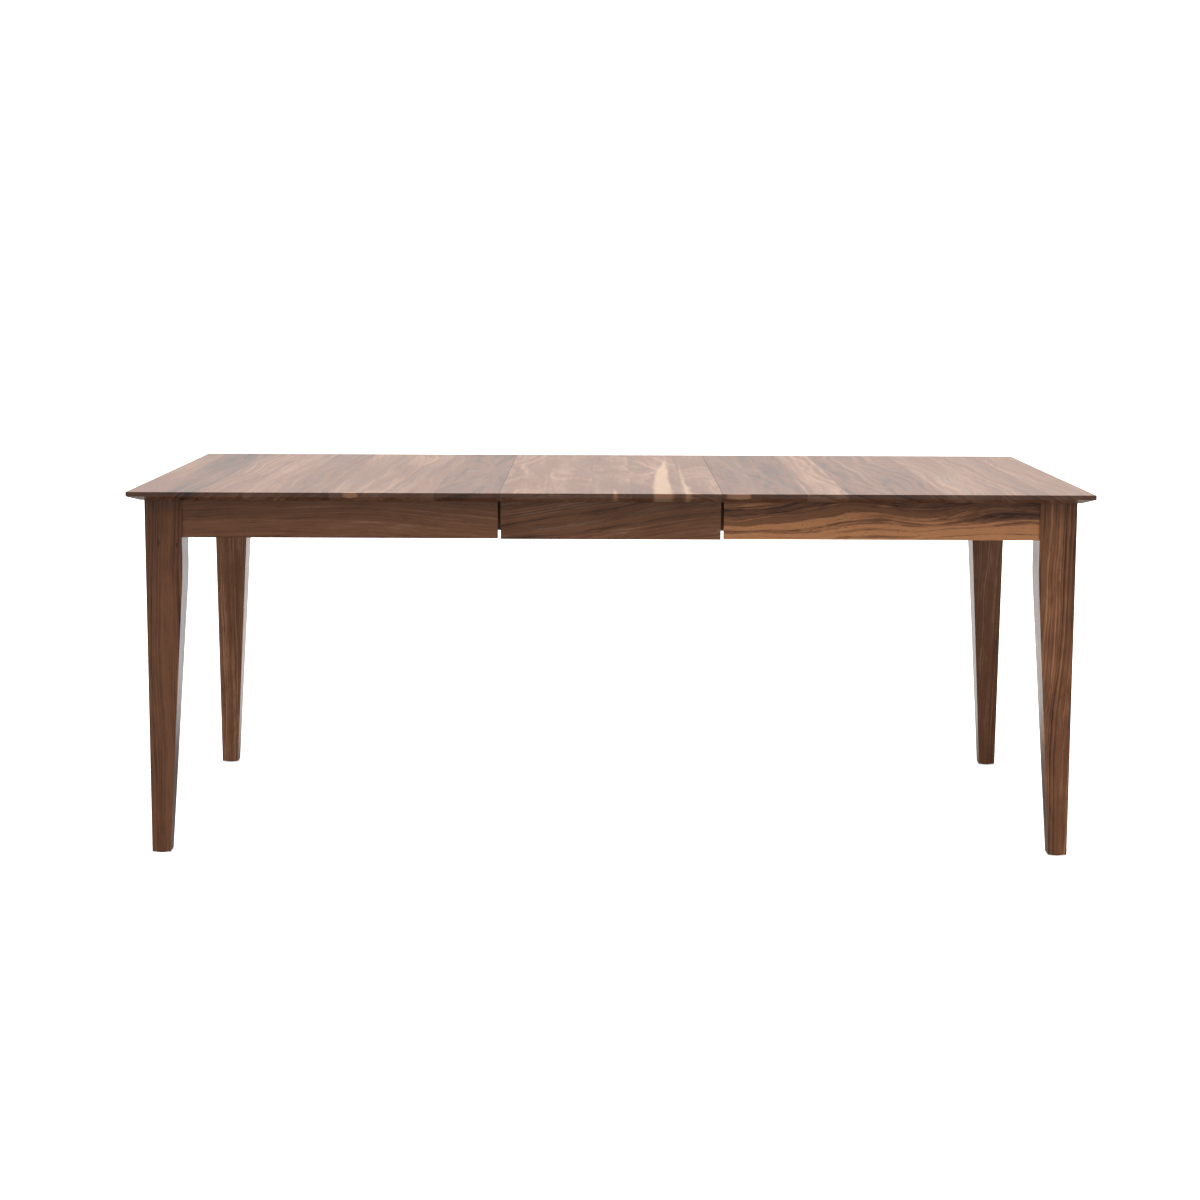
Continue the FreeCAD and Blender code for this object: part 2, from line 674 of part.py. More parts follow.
def rack(side, row):
    """A toothed bar let into a side rail, with a space between teeth at the pinion at rest."""
    x0, x1 = rack_ends(side)
    tip, root = PITCH_RADIUS - GEAR_MODULE, PITCH_RADIUS + DEDENDUM * GEAR_MODULE
    bar = rail_slot(row, side, root, RACK_BACK, x0, x1, GEAR_Z, GEAR_THICKNESS)
    out = V(0, row * -side, 0)
    half_pitch = (TOOTH_PITCH / 2 - GEAR_BACKLASH) / 2
    widen = math.tan(PRESSURE_ANGLE)
    half_tip, half_root = half_pitch - GEAR_MODULE * widen, half_pitch + (root - PITCH_RADIUS) * widen
    floor = V(0, row * RAIL_Y, GEAR_Z - GEAR_THICKNESS / 2)
    first = math.ceil((x0 + half_root) / TOOTH_PITCH - 0.5)
    last = math.floor((x1 - half_root) / TOOTH_PITCH - 0.5)
    outline = [floor + V(x0, 0, 0) + out * RACK_BACK, floor + V(x0, 0, 0) + out * root]
    for k in range(first, last + 1):
        middle = (k + 0.5) * TOOTH_PITCH
        reaches = [(-half_root, root), (-half_tip, tip), (half_tip, tip), (half_root, root)]
        outline += [floor + V(middle + dx, 0, 0) + out * reach for dx, reach in reaches]
    outline += [floor + V(x1, 0, 0) + out * root, floor + V(x1, 0, 0) + out * RACK_BACK]
    toothed = prism(outline, UP * GEAR_THICKNESS)
    return join([bar, toothed])


# Pins and sockets in the seams

def pin_lines():
    """The Y places of the pins across the table."""
    return [row * y for row in ROWS.values() for y in (PIN_MIDDLE, SIDE_Y - PIN_FROM_SIDE)]


def pin_hole(seam_x, y):
    """The hole of a pin in the wood to the left of a seam."""
    return rod(PIN_RADIUS + WOOD_GAP, V(seam_x, y, PIN_Z), V(-1, 0, 0), PIN_IN_WOOD + WOOD_GAP)


def alignment_pin(seam_x, y):
    """A pin set in the wood to the left of a seam, standing out to the right with an eased nose."""
    pin = rod(PIN_RADIUS, V(seam_x - PIN_IN_WOOD, y, PIN_Z), V(1, 0, 0), PIN_IN_WOOD + PIN_REACH)
    nose = edges_where(pin, lambda m, b: abs(m.x - seam_x - PIN_REACH) < 1e-6 and b.XLength < 1e-6)
    return pin.makeFillet(PIN_NOSE, nose)


def socket_hole(seam_x, y):
    return rod(SOCKET_RADIUS + WOOD_GAP, V(seam_x, y, PIN_Z), V(1, 0, 0), SOCKET_DEPTH + WOOD_GAP)


def pin_socket(seam_x, y):
    """The lined hole to the right of a seam that a pin slides into."""
    start = V(seam_x, y, PIN_Z)
    liner = rod(SOCKET_RADIUS, start, V(1, 0, 0), SOCKET_DEPTH)
    return liner.cut(rod(PIN_RADIUS + PIN_RUNNING_GAP, start, V(1, 0, 0), SOCKET_DEPTH))


# Swing locks. A lock is screwed to the left of its seam and catches a stud on a keeper to the right.

def lock_pivot(seam_x, row):
    return V(seam_x - LOCK_FROM_SEAM, row * LOCK_FROM_MIDDLE, 0)


def lock_stud(seam_x, row):
    return lock_pivot(seam_x, row) + V(LOCK_ARM, 0, 0)


def plate_screw_seats(middle, length, width):
    """The seats of a plate's four corner screws, under the plate."""
    reach_x, reach_y = length / 2 - LOCK_SCREW_EDGE, width / 2 - LOCK_SCREW_EDGE
    seat_z = UNDER_Z - LOCK_STEEL
    return [
        (V(middle.x + sx * reach_x, middle.y + sy * reach_y, seat_z), UP) for sx in (-1, 1) for sy in (-1, 1)
    ]


def lock_plate_seats(seam_x, row):
    return plate_screw_seats(lock_pivot(seam_x, row), LOCK_PLATE_LENGTH, LOCK_PLATE_WIDTH)


def keeper_seats(seam_x, row):
    """The seats of a keeper's two screws, one each side of the stud."""
    stud = lock_stud(seam_x, row)
    reach = KEEPER_WIDTH / 2 - LOCK_SCREW_EDGE
    return [(V(stud.x, stud.y + sy * reach, UNDER_Z - LOCK_STEEL), UP) for sy in (-1, 1)]


def steel_plate(middle, length, width, seats):
    """A plate under the top with its screw holes."""
    plate = box(
        middle.x - length / 2, middle.x + length / 2, middle.y - width / 2, middle.y + width / 2,
        UNDER_Z - LOCK_STEEL, UNDER_Z,
    )
    return plate.cut([plate_hole(seat, into, LOCK_STEEL) for seat, into in seats])


def headed_post(place, radius, head_radius):
    """A post under a plate, with a head below the lever."""
    foot = V(place.x, place.y, PIVOT_END)
    post = rod(radius, foot, UP, UNDER_Z - LOCK_STEEL - PIVOT_END)
    return [post, rod(head_radius, foot, UP, PIVOT_HEAD_HEIGHT)]


def lock_plate(seam_x, row):
    """A lock's plate with the pivot that its lever turns on, and a collar that keeps it below the screws."""
    pivot = lock_pivot(seam_x, row)
    plate = steel_plate(pivot, LOCK_PLATE_LENGTH, LOCK_PLATE_WIDTH, lock_plate_seats(seam_x, row))
    collar_foot = V(pivot.x, pivot.y, LEVER_TOP + LEVER_SPACE)
    collar = rod(PIVOT_COLLAR_RADIUS, collar_foot, UP, UNDER_Z - LOCK_STEEL - collar_foot.z)
    return join([plate, collar] + headed_post(pivot, PIVOT_RADIUS, PIVOT_HEAD_RADIUS))


def lock_keeper(seam_x, row):
    """A keeper's plate with the stud that the lever hooks."""
    stud = lock_stud(seam_x, row)
    plate = steel_plate(stud, KEEPER_LENGTH, KEEPER_WIDTH, keeper_seats(seam_x, row))
    return join([plate] + headed_post(stud, STUD_RADIUS, STUD_HEAD_RADIUS))


def sector(pivot, inner, outer, start, end):
    """A ring's sector as thick as the lever, between two angles in degrees from +X."""
    floor = V(pivot.x, pivot.y, LEVER_BOTTOM)
    wedge = Part.makeCylinder(outer, LEVER_THICKNESS, floor, UP, end - start)
    wedge.rotate(floor, UP, start)
    return wedge.cut(rod(inner, floor, UP, LEVER_THICKNESS))


def lock_lever(seam_x, row):
    """A hook that swings level under the top, open at rest and pointing away from the table's middle.

    Its slot follows a circle round the pivot, so it takes the stud in as the lever swings a quarter turn.
    It is laid out as locked, with the hook towards +X, and then turned back to rest.
    """
    pivot = lock_pivot(seam_x, row)
    lead, trail = (LEVER_LEAD, -LEVER_TRAIL) if row < 0 else (-LEVER_LEAD, LEVER_TRAIL)
    head = sector(pivot, LEVER_HEAD_INNER, LEVER_HEAD_OUTER, min(lead, trail), max(lead, trail))
    slot_half = STUD_RADIUS + STUD_SPACE
    slot_end = math.degrees(slot_half / LOCK_ARM) * (1 if trail > 0 else -1)
    slot = sector(
        pivot, LOCK_ARM - slot_half, LOCK_ARM + slot_half,
        min(slot_end, 2 * lead), max(slot_end, 2 * lead),
    )
    hub = rod(LEVER_HUB_RADIUS, V(pivot.x, pivot.y, LEVER_BOTTOM), UP, LEVER_THICKNESS)
    half = LEVER_ARM_WIDTH / 2
    arm = box(
        pivot.x - LEVER_TAIL, pivot.x + LOCK_ARM, pivot.y - half, pivot.y + half, LEVER_BOTTOM, LEVER_TOP
    )
    tab = box(
        pivot.x - LEVER_TAIL, pivot.x - LEVER_TAIL + LOCK_STEEL, pivot.y - half, pivot.y + half,
        LEVER_BOTTOM - LEVER_TAB_HEIGHT, LEVER_BOTTOM,
    )
    bore = rod(PIVOT_RADIUS + PIVOT_RUNNING_GAP, V(pivot.x, pivot.y, LEVER_BOTTOM), UP, LEVER_THICKNESS)
    lever = join([head, hub, arm, tab]).cut([slot, bore])
    lever.rotate(V(pivot.x, pivot.y, 0), UP, 90 * row)
    return lever


# Putting it together

def panel_holes(seats):
    return [screw_hole(seat, into) for seat, into in seats]


def half_nodes(name, side):
    """Every sub-part that slides with one half."""
    corners = [(side, row) for row in ROWS.values()]
    clips = clip_places(side)
    clip_seats = [seat for corner, away in clips for seat in clip_screw_seats(corner, away)]
    if side < 0:
        lock_seats = [seat for row in ROWS.values() for seat in lock_plate_seats(-SEAM_X, row)]
    else:
        lock_seats = [seat for row in ROWS.values() for seat in keeper_seats(SEAM_X, row)]
    small_holes = panel_holes(clip_seats + lock_seats)
    feet = [foot for corner in corners for foot in rail_screw_feet(*corner)]
    if side < 0:
        seam_holes = [pin_hole(-SEAM_X, y) for y in pin_lines()]
    else:
        seam_holes = [socket_hole(SEAM_X, y) for y in pin_lines()]

    nodes = {
        f"{name}_top": half_top(side).cut(small_holes + seam_holes + [rail_screw_hole(f) for f in feet]),
        f"{name}_end_apron": end_apron(side).cut(small_holes),
        f"{name}_corner_blocks": [corner_block(*c) for c in corners],
        f"{name}_hanger_bolts": [hanger_bolt(*c, z) for c in corners for z in bolt_heights()],
        f"{name}_bolt_nuts": [flange_nut(*c, z) for c in corners for z in bolt_heights()],
        f"{name}_glides": [glide(*c) for c in corners],
        f"{name}_top_clips": [clip(*place) for place in clips],
        f"{name}_small_screws": [wood_screw(*seat) for seat in clip_seats + lock_seats],
        f"{name}_rail_screws": [rail_screw(foot) for foot in feet],
        f"{name}_slide_stops": [stop_pin(*c, 0) for c in corners],
    }
    for row_name, row in ROWS.items():
        nodes[f"{row_name}_{name}_leg"] = leg(side, row)
        nodes[f"{row_name}_{name}_apron"] = side_apron(side, row).cut(small_holes)
        nodes[f"{row_name}_{name}_rail"] = side_rail(side, row)
        nodes[f"{row_name}_{name}_rack"] = rack(side, row)
    return nodes


def left_only_nodes():
    """What the left half has and the right half hasn't: pins and locks."""
    nodes = {
        "left_alignment_pins": [alignment_pin(-SEAM_X, y) for y in pin_lines()],
        "left_lock_plates": [lock_plate(-SEAM_X, row) for row in ROWS.values()],
    }
    for row_name, row in ROWS.items():
        nodes[f"{row_name}_left_lock_lever"] = lock_lever(-SEAM_X, row)
    return nodes


def right_only_nodes():
    """What the right half has and the left half hasn't: sockets and keepers."""
    return {
        "right_pin_sockets": [pin_socket(SEAM_X, y) for y in pin_lines()],
        "right_lock_keepers": [lock_keeper(SEAM_X, row) for row in ROWS.values()],
    }


def leaf_nodes():
    """The leaf with its aprons, pins, sockets, locks and keepers."""
    left_edge, right_edge = SEAM_GAP - SEAM_X, SEAM_X - SEAM_GAP
    rows = ROWS.values()
    seats = [seat for row in rows for seat in keeper_seats(-SEAM_X, row) + lock_plate_seats(SEAM_X, row)]
    edge_holes = [socket_hole(left_edge, y) for y in pin_lines()]
    edge_holes += [pin_hole(right_edge, y) for y in pin_lines()]
    nodes = {
        "leaf_top": leaf_top().cut(panel_holes(seats) + edge_holes),
        "leaf_glue_blocks": [glue_block(row, GLUE_BLOCK_PITCH * k) for row in rows for k in (-1, 0, 1)],
        "leaf_alignment_pins": [alignment_pin(right_edge, y) for y in pin_lines()],
        "leaf_pin_sockets": [pin_socket(left_edge, y) for y in pin_lines()],
        "leaf_lock_plates": [lock_plate(SEAM_X, row) for row in rows],
        "leaf_lock_keepers": [lock_keeper(-SEAM_X, row) for row in rows],
        "leaf_small_screws": [wood_screw(*seat) for seat in seats],
    }
    for row_name, row in ROWS.items():
        nodes[f"{row_name}_leaf_apron"] = leaf_apron(row)
        nodes[f"{row_name}_leaf_lock_lever"] = lock_lever(SEAM_X, row)
    return nodes


def slide_nodes():
    """The centre rails with their guides, pinions and axles."""
    nodes = {"pinion_axles": [pinion_axle(row, 0) for row in ROWS.values()]}
    for row_name, row in ROWS.items():
        nodes[f"{row_name}_centre_rail"] = centre_rail(row)
        nodes[f"{row_name}_guides"] = [guide(side, row) for side in SIDES.values()]
        nodes[f"{row_name}_pinion"] = pinion(row)
    return nodes


def main():
    os.makedirs("parts", exist_ok=True)
    nodes = {**leaf_nodes(), **slide_nodes(), **left_only_nodes(), **right_only_nodes()}
    for name, side in SIDES.items():
        nodes.update(half_nodes(name, side))
    for name, shape in nodes.items():
        solids = shape if isinstance(shape, list) else [shape]
        whole = Part.makeCompound([s for piece in solids for s in piece.Solids])
        whole.exportStep(f"parts/{name}.step")
        print(f"{name}: {len(whole.Solids)} solid(s), {whole.Volume / 1000:.1f} cm3, valid {whole.isValid()}")
    print(len(nodes), "nodes")


main()
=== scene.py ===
"""Looks for an extending walnut dining table: finishes for every part, a studio and a camera.

Laid out as an add-on and run as a script. Metres; the grain patterns are worked out from object coordinates.
"""

import math

import bpy
from mathutils import Matrix, Vector


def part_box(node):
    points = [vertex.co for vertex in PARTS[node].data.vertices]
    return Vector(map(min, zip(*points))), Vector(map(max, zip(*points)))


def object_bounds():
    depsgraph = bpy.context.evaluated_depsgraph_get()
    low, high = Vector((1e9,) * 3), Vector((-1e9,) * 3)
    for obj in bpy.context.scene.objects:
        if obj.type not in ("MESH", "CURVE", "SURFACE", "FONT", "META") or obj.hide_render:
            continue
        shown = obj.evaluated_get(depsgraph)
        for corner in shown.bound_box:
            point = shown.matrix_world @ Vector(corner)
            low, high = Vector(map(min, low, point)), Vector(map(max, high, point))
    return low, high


bl_info = {
    "name": "Walnut extending table",
    "version": (1, 0, 0),
    "blender": (4, 5, 0),
    "location": "3D View > Sidebar > Table",
    "description": "Finishes an extending walnut dining table and sets up its studio",
    "category": "Object",
}

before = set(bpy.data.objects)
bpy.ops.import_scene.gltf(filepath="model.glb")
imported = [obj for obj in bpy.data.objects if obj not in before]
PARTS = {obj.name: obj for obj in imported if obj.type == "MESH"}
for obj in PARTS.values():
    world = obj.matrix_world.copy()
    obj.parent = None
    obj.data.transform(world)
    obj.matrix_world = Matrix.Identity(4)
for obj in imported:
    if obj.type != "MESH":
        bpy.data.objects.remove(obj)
CAD_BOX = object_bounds()

# Sockets of a mix of two colours: the node has another set for each other kind of value
MIX_COLOUR_A, MIX_COLOUR_B, MIX_COLOUR_RESULT = 6, 7, 2

# How strongly each mark shows, the tints that go with them, and depths in metres
END_GRAIN_DARKENING = 0.85
END_GRAIN_TINT = (0.30, 0.24, 0.20, 1.0)
SAPWOOD_END_TINT = (0.50, 0.30, 0.19, 1.0)
WARM_TINT = (1.0, 0.82, 0.70, 1.0)
WARM_STRENGTH = 0.35
STREAK_STRENGTH = 0.38
PORE_STRENGTH = 0.55
SAPWOOD_STRENGTH = 0.52
KNOT_STRENGTH = 0.8
JOINT_STRENGTH = 0.5
# The seam strength and core set the painted shade along the seams between the leaf and the half tops
SEAM_SHADE_STRENGTH = 0.75
SEAM_SHADE_CORE = 0.0004
PORE_BUMP = 0.6
SCUFF_BUMP = 0.15
SCUFF_DEPTH = 0.0001

# Where the floor's bounce changes, in metres behind the middle, and how the light and the view are set
BOUNCE_FADE = (0.3, 1.2)
SKY_FADE = 0.35
BACKDROP_SEEN = 1.05
OVERHEAD_SPREAD = math.radians(75)
OVERHEAD_TILT = (math.radians(8), math.radians(-6), 0)
FRAME_WIDTH = 36
VIEW_DISTANCE = 200


# Settings

def colour(name, description, value):
    return bpy.props.FloatVectorProperty(
        name=name, description=description, subtype="COLOR", size=3, min=0.0, max=1.0, default=value
    )


def length(name, description, value):
    return bpy.props.FloatProperty(
        name=name, description=description, default=value, min=0.0, subtype="DISTANCE", unit="LENGTH"
    )


def factor(name, description, value):
    return bpy.props.FloatProperty(
        name=name, description=description, default=value, min=0.0, max=1.0, subtype="FACTOR"
    )


class WalnutSettings(bpy.types.PropertyGroup):
    dark: colour("Dark heartwood", "Colour of the late wood and the streaks", (0.040, 0.0145, 0.0068))
    middle: colour("Heartwood", "Colour of most of the wood", (0.165, 0.068, 0.031))
    light: colour("Light heartwood", "Colour of the early wood", (0.345, 0.196, 0.120))
    sapwood: colour("Sapwood", "Colour of the cream streaks in the leaf", (0.60, 0.40, 0.245))
    amber: colour("Amber heartwood", "Early wood of the warmest boards", (0.47, 0.200, 0.080))
    knot: colour("Knot", "Colour of the small knots", (0.022, 0.010, 0.007))
    board_width: length("Board width", "Usual width of the boards in the tops", 0.098)
    joint_width: length("Glue line", "Width of the glue line between two boards", 0.0005)
    # Width of the painted shade along the seams between the leaf and the half tops
    seam_shade_width: length("Seam line", "Width of the darker edge along a seam", 0.0016)
    ring_width: length("Ring width", "Usual width of a growth ring", 0.0046)
    pore_depth: length("Pore depth", "Depth of the open pores", 0.00009)
    top_roughness: factor("Top roughness", "Roughness of the oiled tops", 0.34)
    base_roughness: factor("Base roughness", "Roughness of the oiled legs and aprons", 0.30)
    top_gloss: factor("Top gloss", "Strength of the tops' shine seen straight on", 0.5)
    base_gloss: factor("Base gloss", "Strength of the legs' and aprons' shine seen straight on", 0.27)


class SlideSettings(bpy.types.PropertyGroup):
    # Both maple colours are kept at half brightness as painted shade, so the rails look dark in the gaps
    # between the aprons; the blocks share them
    maple_dark_and_painted_shade: colour("Maple late wood with painted shade", "Darker colour of the slide rails", (0.085, 0.045, 0.026))
    maple_light_and_painted_shade: colour("Maple early wood with painted shade", "Lighter colour of the slide rails", (0.19, 0.115, 0.066))
    zinc: colour("Zinc", "Colour of the zinc plated steel", (0.56, 0.56, 0.55))
    yellow_zinc: colour("Yellow zinc", "Colour of the yellow plated steel", (0.62, 0.53, 0.34))
    brass: colour("Brass", "Colour of the pins and sockets", (0.70, 0.48, 0.19))
    nylon: colour("Nylon", "Colour of the pinions", (0.74, 0.71, 0.64))
    # Near-black, partly the glides' own colour and partly painted shade under the feet
    glide: colour("Glide", "Colour of the glides under the feet", (0.022, 0.018, 0.016))


class StudioSettings(bpy.types.PropertyGroup):
    floor: colour("Floor", "Colour of the floor", (0.93, 0.93, 0.93))
    bounce: factor("Floor bounce", "Share of the floor's brightness that lights the table from below", 0.27)
    rear_bounce: factor("Rear bounce", "Share of the floor's brightness behind the table", 0.90)
    floor_glow: factor("Floor glow", "Light added to the floor as the camera sees it", 0.6)
    floor_size: length("Floor size", "Width of the square floor", 60.0)
    lens: bpy.props.FloatProperty(
        name="Lens", description="Focal length on a 36 mm wide frame", default=70.1, subtype="DISTANCE_CAMERA"
    )
    eye: bpy.props.FloatVectorProperty(
        name="Eye", description="Place of the camera", size=3, default=(-0.0166, -5.2555, 1.2116),
        subtype="TRANSLATION", unit="LENGTH",
    )
    pitch: bpy.props.FloatProperty(
        name="Pitch", description="How far the camera looks down", default=math.radians(8.016), subtype="ANGLE"
    )
    yaw: bpy.props.FloatProperty(
        name="Yaw", description="How far the camera looks to the right", default=math.radians(-0.059),
        subtype="ANGLE",
    )
    roll: bpy.props.FloatProperty(
        name="Roll", description="How far the horizon falls to the right", default=math.radians(0.208),
        subtype="ANGLE",
    )
    sky: bpy.props.FloatProperty(name="Backdrop", description="Brightness behind the table", default=1.0)
    front: bpy.props.FloatProperty(
        name="Front fill", description="Brightness of the room behind the camera", default=0.80
    )
    overhead: bpy.props.FloatProperty(
        name="Overhead", description="Strength of the light from above", default=3.4
    )


# Node helpers

def clear_tree(tree):
    tree.nodes.clear()
    return tree


def add(tree, kind, x=0, **settings):
    """A node of a kind. Settings that name an input set its value, and the others set the node's own fields."""
    node = tree.nodes.new(kind)
    node.location.x = x
    for name, value in settings.items():
        if hasattr(node, name):
            setattr(node, name, value)
        else:
            node.inputs[name.replace("_", " ")].default_value = value
    return node


def link(tree, *pairs):
    for source, target in pairs:
        tree.links.new(source, target)


def feed(tree, socket, value):
    """Sets a socket to a constant, or links it to another node's output."""
    if isinstance(value, bpy.types.NodeSocket):
        tree.links.new(value, socket)
    else:
        socket.default_value = value


def maths(tree, operation, a, b=0.0, c=0.0, clamp=False):
    node = tree.nodes.new("ShaderNodeMath")
    node.operation = operation
    node.use_clamp = clamp
    for socket, value in zip(node.inputs, (a, b, c)):
        feed(tree, socket, value)
    return node.outputs[0]


def vector_maths(tree, operation, a, b=(0, 0, 0)):
    node = tree.nodes.new("ShaderNodeVectorMath")
    node.operation = operation
    feed(tree, node.inputs[0], a)
    feed(tree, node.inputs[1], b)
    return node.outputs["Value"] if operation in ("LENGTH", "DOT_PRODUCT") else node.outputs["Vector"]


def blend(tree, amount, a, b, mode="MIX"):
    """A mix of two colours."""
    node = tree.nodes.new("ShaderNodeMix")
    node.data_type = "RGBA"
    node.blend_type = mode
    feed(tree, node.inputs["Factor"], amount)
    feed(tree, node.inputs[MIX_COLOUR_A], a)
    feed(tree, node.inputs[MIX_COLOUR_B], b)
    return node.outputs[MIX_COLOUR_RESULT]


def between(tree, value, low, high, to_low=0.0, to_high=1.0):
    """A value taken smoothly from one range to another, and held at its ends."""
    node = tree.nodes.new("ShaderNodeMapRange")
    node.interpolation_type = "SMOOTHSTEP"
    names = ("Value", "From Min", "From Max", "To Min", "To Max")
    for name, item in zip(names, (value, low, high, to_low, to_high)):
        feed(tree, node.inputs[name], item)
    return node.outputs["Result"]


def noise(tree, vector, scale, detail=2.0, rough=0.5, distortion=0.0):
    """Noise whose size is set apart along each axis."""
    stretched = vector_maths(tree, "MULTIPLY", vector, scale)
    node = add(tree, "ShaderNodeTexNoise", Scale=1.0, Detail=detail, Roughness=rough, Distortion=distortion)
    link(tree, (stretched, node.inputs["Vector"]))
    return node.outputs


def separate(tree, vector):
    node = tree.nodes.new("ShaderNodeSeparateXYZ")
    feed(tree, node.inputs[0], vector)
    return node.outputs


def combine(tree, x=0.0, y=0.0, z=0.0):
    node = tree.nodes.new("ShaderNodeCombineXYZ")
    for socket, value in zip(node.inputs, (x, y, z)):
        feed(tree, socket, value)
    return node.outputs[0]


def rgba(value):
    return (*value, 1.0)


def new_group(name, inputs, outputs):
    """An empty node group with its sockets. Each input is a name, a kind and a default."""
    tree = bpy.data.node_groups.new(name, "ShaderNodeTree")
    for label, kind, default in inputs:
        socket = tree.interface.new_socket(label, in_out="INPUT", socket_type="NodeSocket" + kind)
        socket.default_value = default
    for label, kind in outputs:
        tree.interface.new_socket(label, in_out="OUTPUT", socket_type="NodeSocket" + kind)
    source = tree.nodes.new("NodeGroupInput")
    sink = tree.nodes.new("NodeGroupOutput")
    return tree, source.outputs, sink.inputs


def place_group(tree, group, **values):
    """A group placed in a material, its inputs set or linked by name."""
    node = tree.nodes.new("ShaderNodeGroup")
    node.node_tree = group
    for name, value in values.items():
        feed(tree, node.inputs[name.replace("_", " ")], value)
    return node.outputs


# Effects that the materials share

def board_group():
    """Boards of uneven width side by side, each with its own tone and its own place in the log."""
    tree, given, put = new_group(
        "Glued boards",
        [("Across", "Float", 0.0), ("Board Width", "Float", 0.1), ("Joint Width", "Float", 0.0005),
         ("Seed", "Float", 0.0)],
        [("Tone", "Float"), ("Shift", "Vector"), ("Joint", "Float")],
    )
    steps = maths(tree, "DIVIDE", given["Across"], given["Board Width"])
    steps = maths(tree, "ADD", steps, given["Seed"])
    cells = add(tree, "ShaderNodeTexVoronoi", voronoi_dimensions="1D", Scale=1.0, Randomness=0.55)
    edges = add(
        tree, "ShaderNodeTexVoronoi", voronoi_dimensions="1D", feature="DISTANCE_TO_EDGE", Scale=1.0,
        Randomness=0.55,
    )
    link(tree, (steps, cells.inputs["W"]), (steps, edges.inputs["W"]))
    red, green, blue = separate(tree, cells.outputs["Color"])
    shift = combine(
        tree,
        maths(tree, "MULTIPLY", red, 9.0),
        maths(tree, "MULTIPLY_ADD", green, 0.16, -0.08),
        maths(tree, "MULTIPLY_ADD", blue, 0.10, 0.035),
    )
    away = maths(tree, "MULTIPLY", edges.outputs["Distance"], given["Board Width"])
    core = maths(tree, "MULTIPLY", given["Joint Width"], 0.4)
    joint = between(tree, away, core, given["Joint Width"], 1.0, 0.0)
    tone = maths(tree, "FRACT", maths(tree, "MULTIPLY", maths(tree, "ADD", red, blue), 7.3))
    link(tree, (tone, put["Tone"]), (shift, put["Shift"]), (joint, put["Joint"]))
    return tree


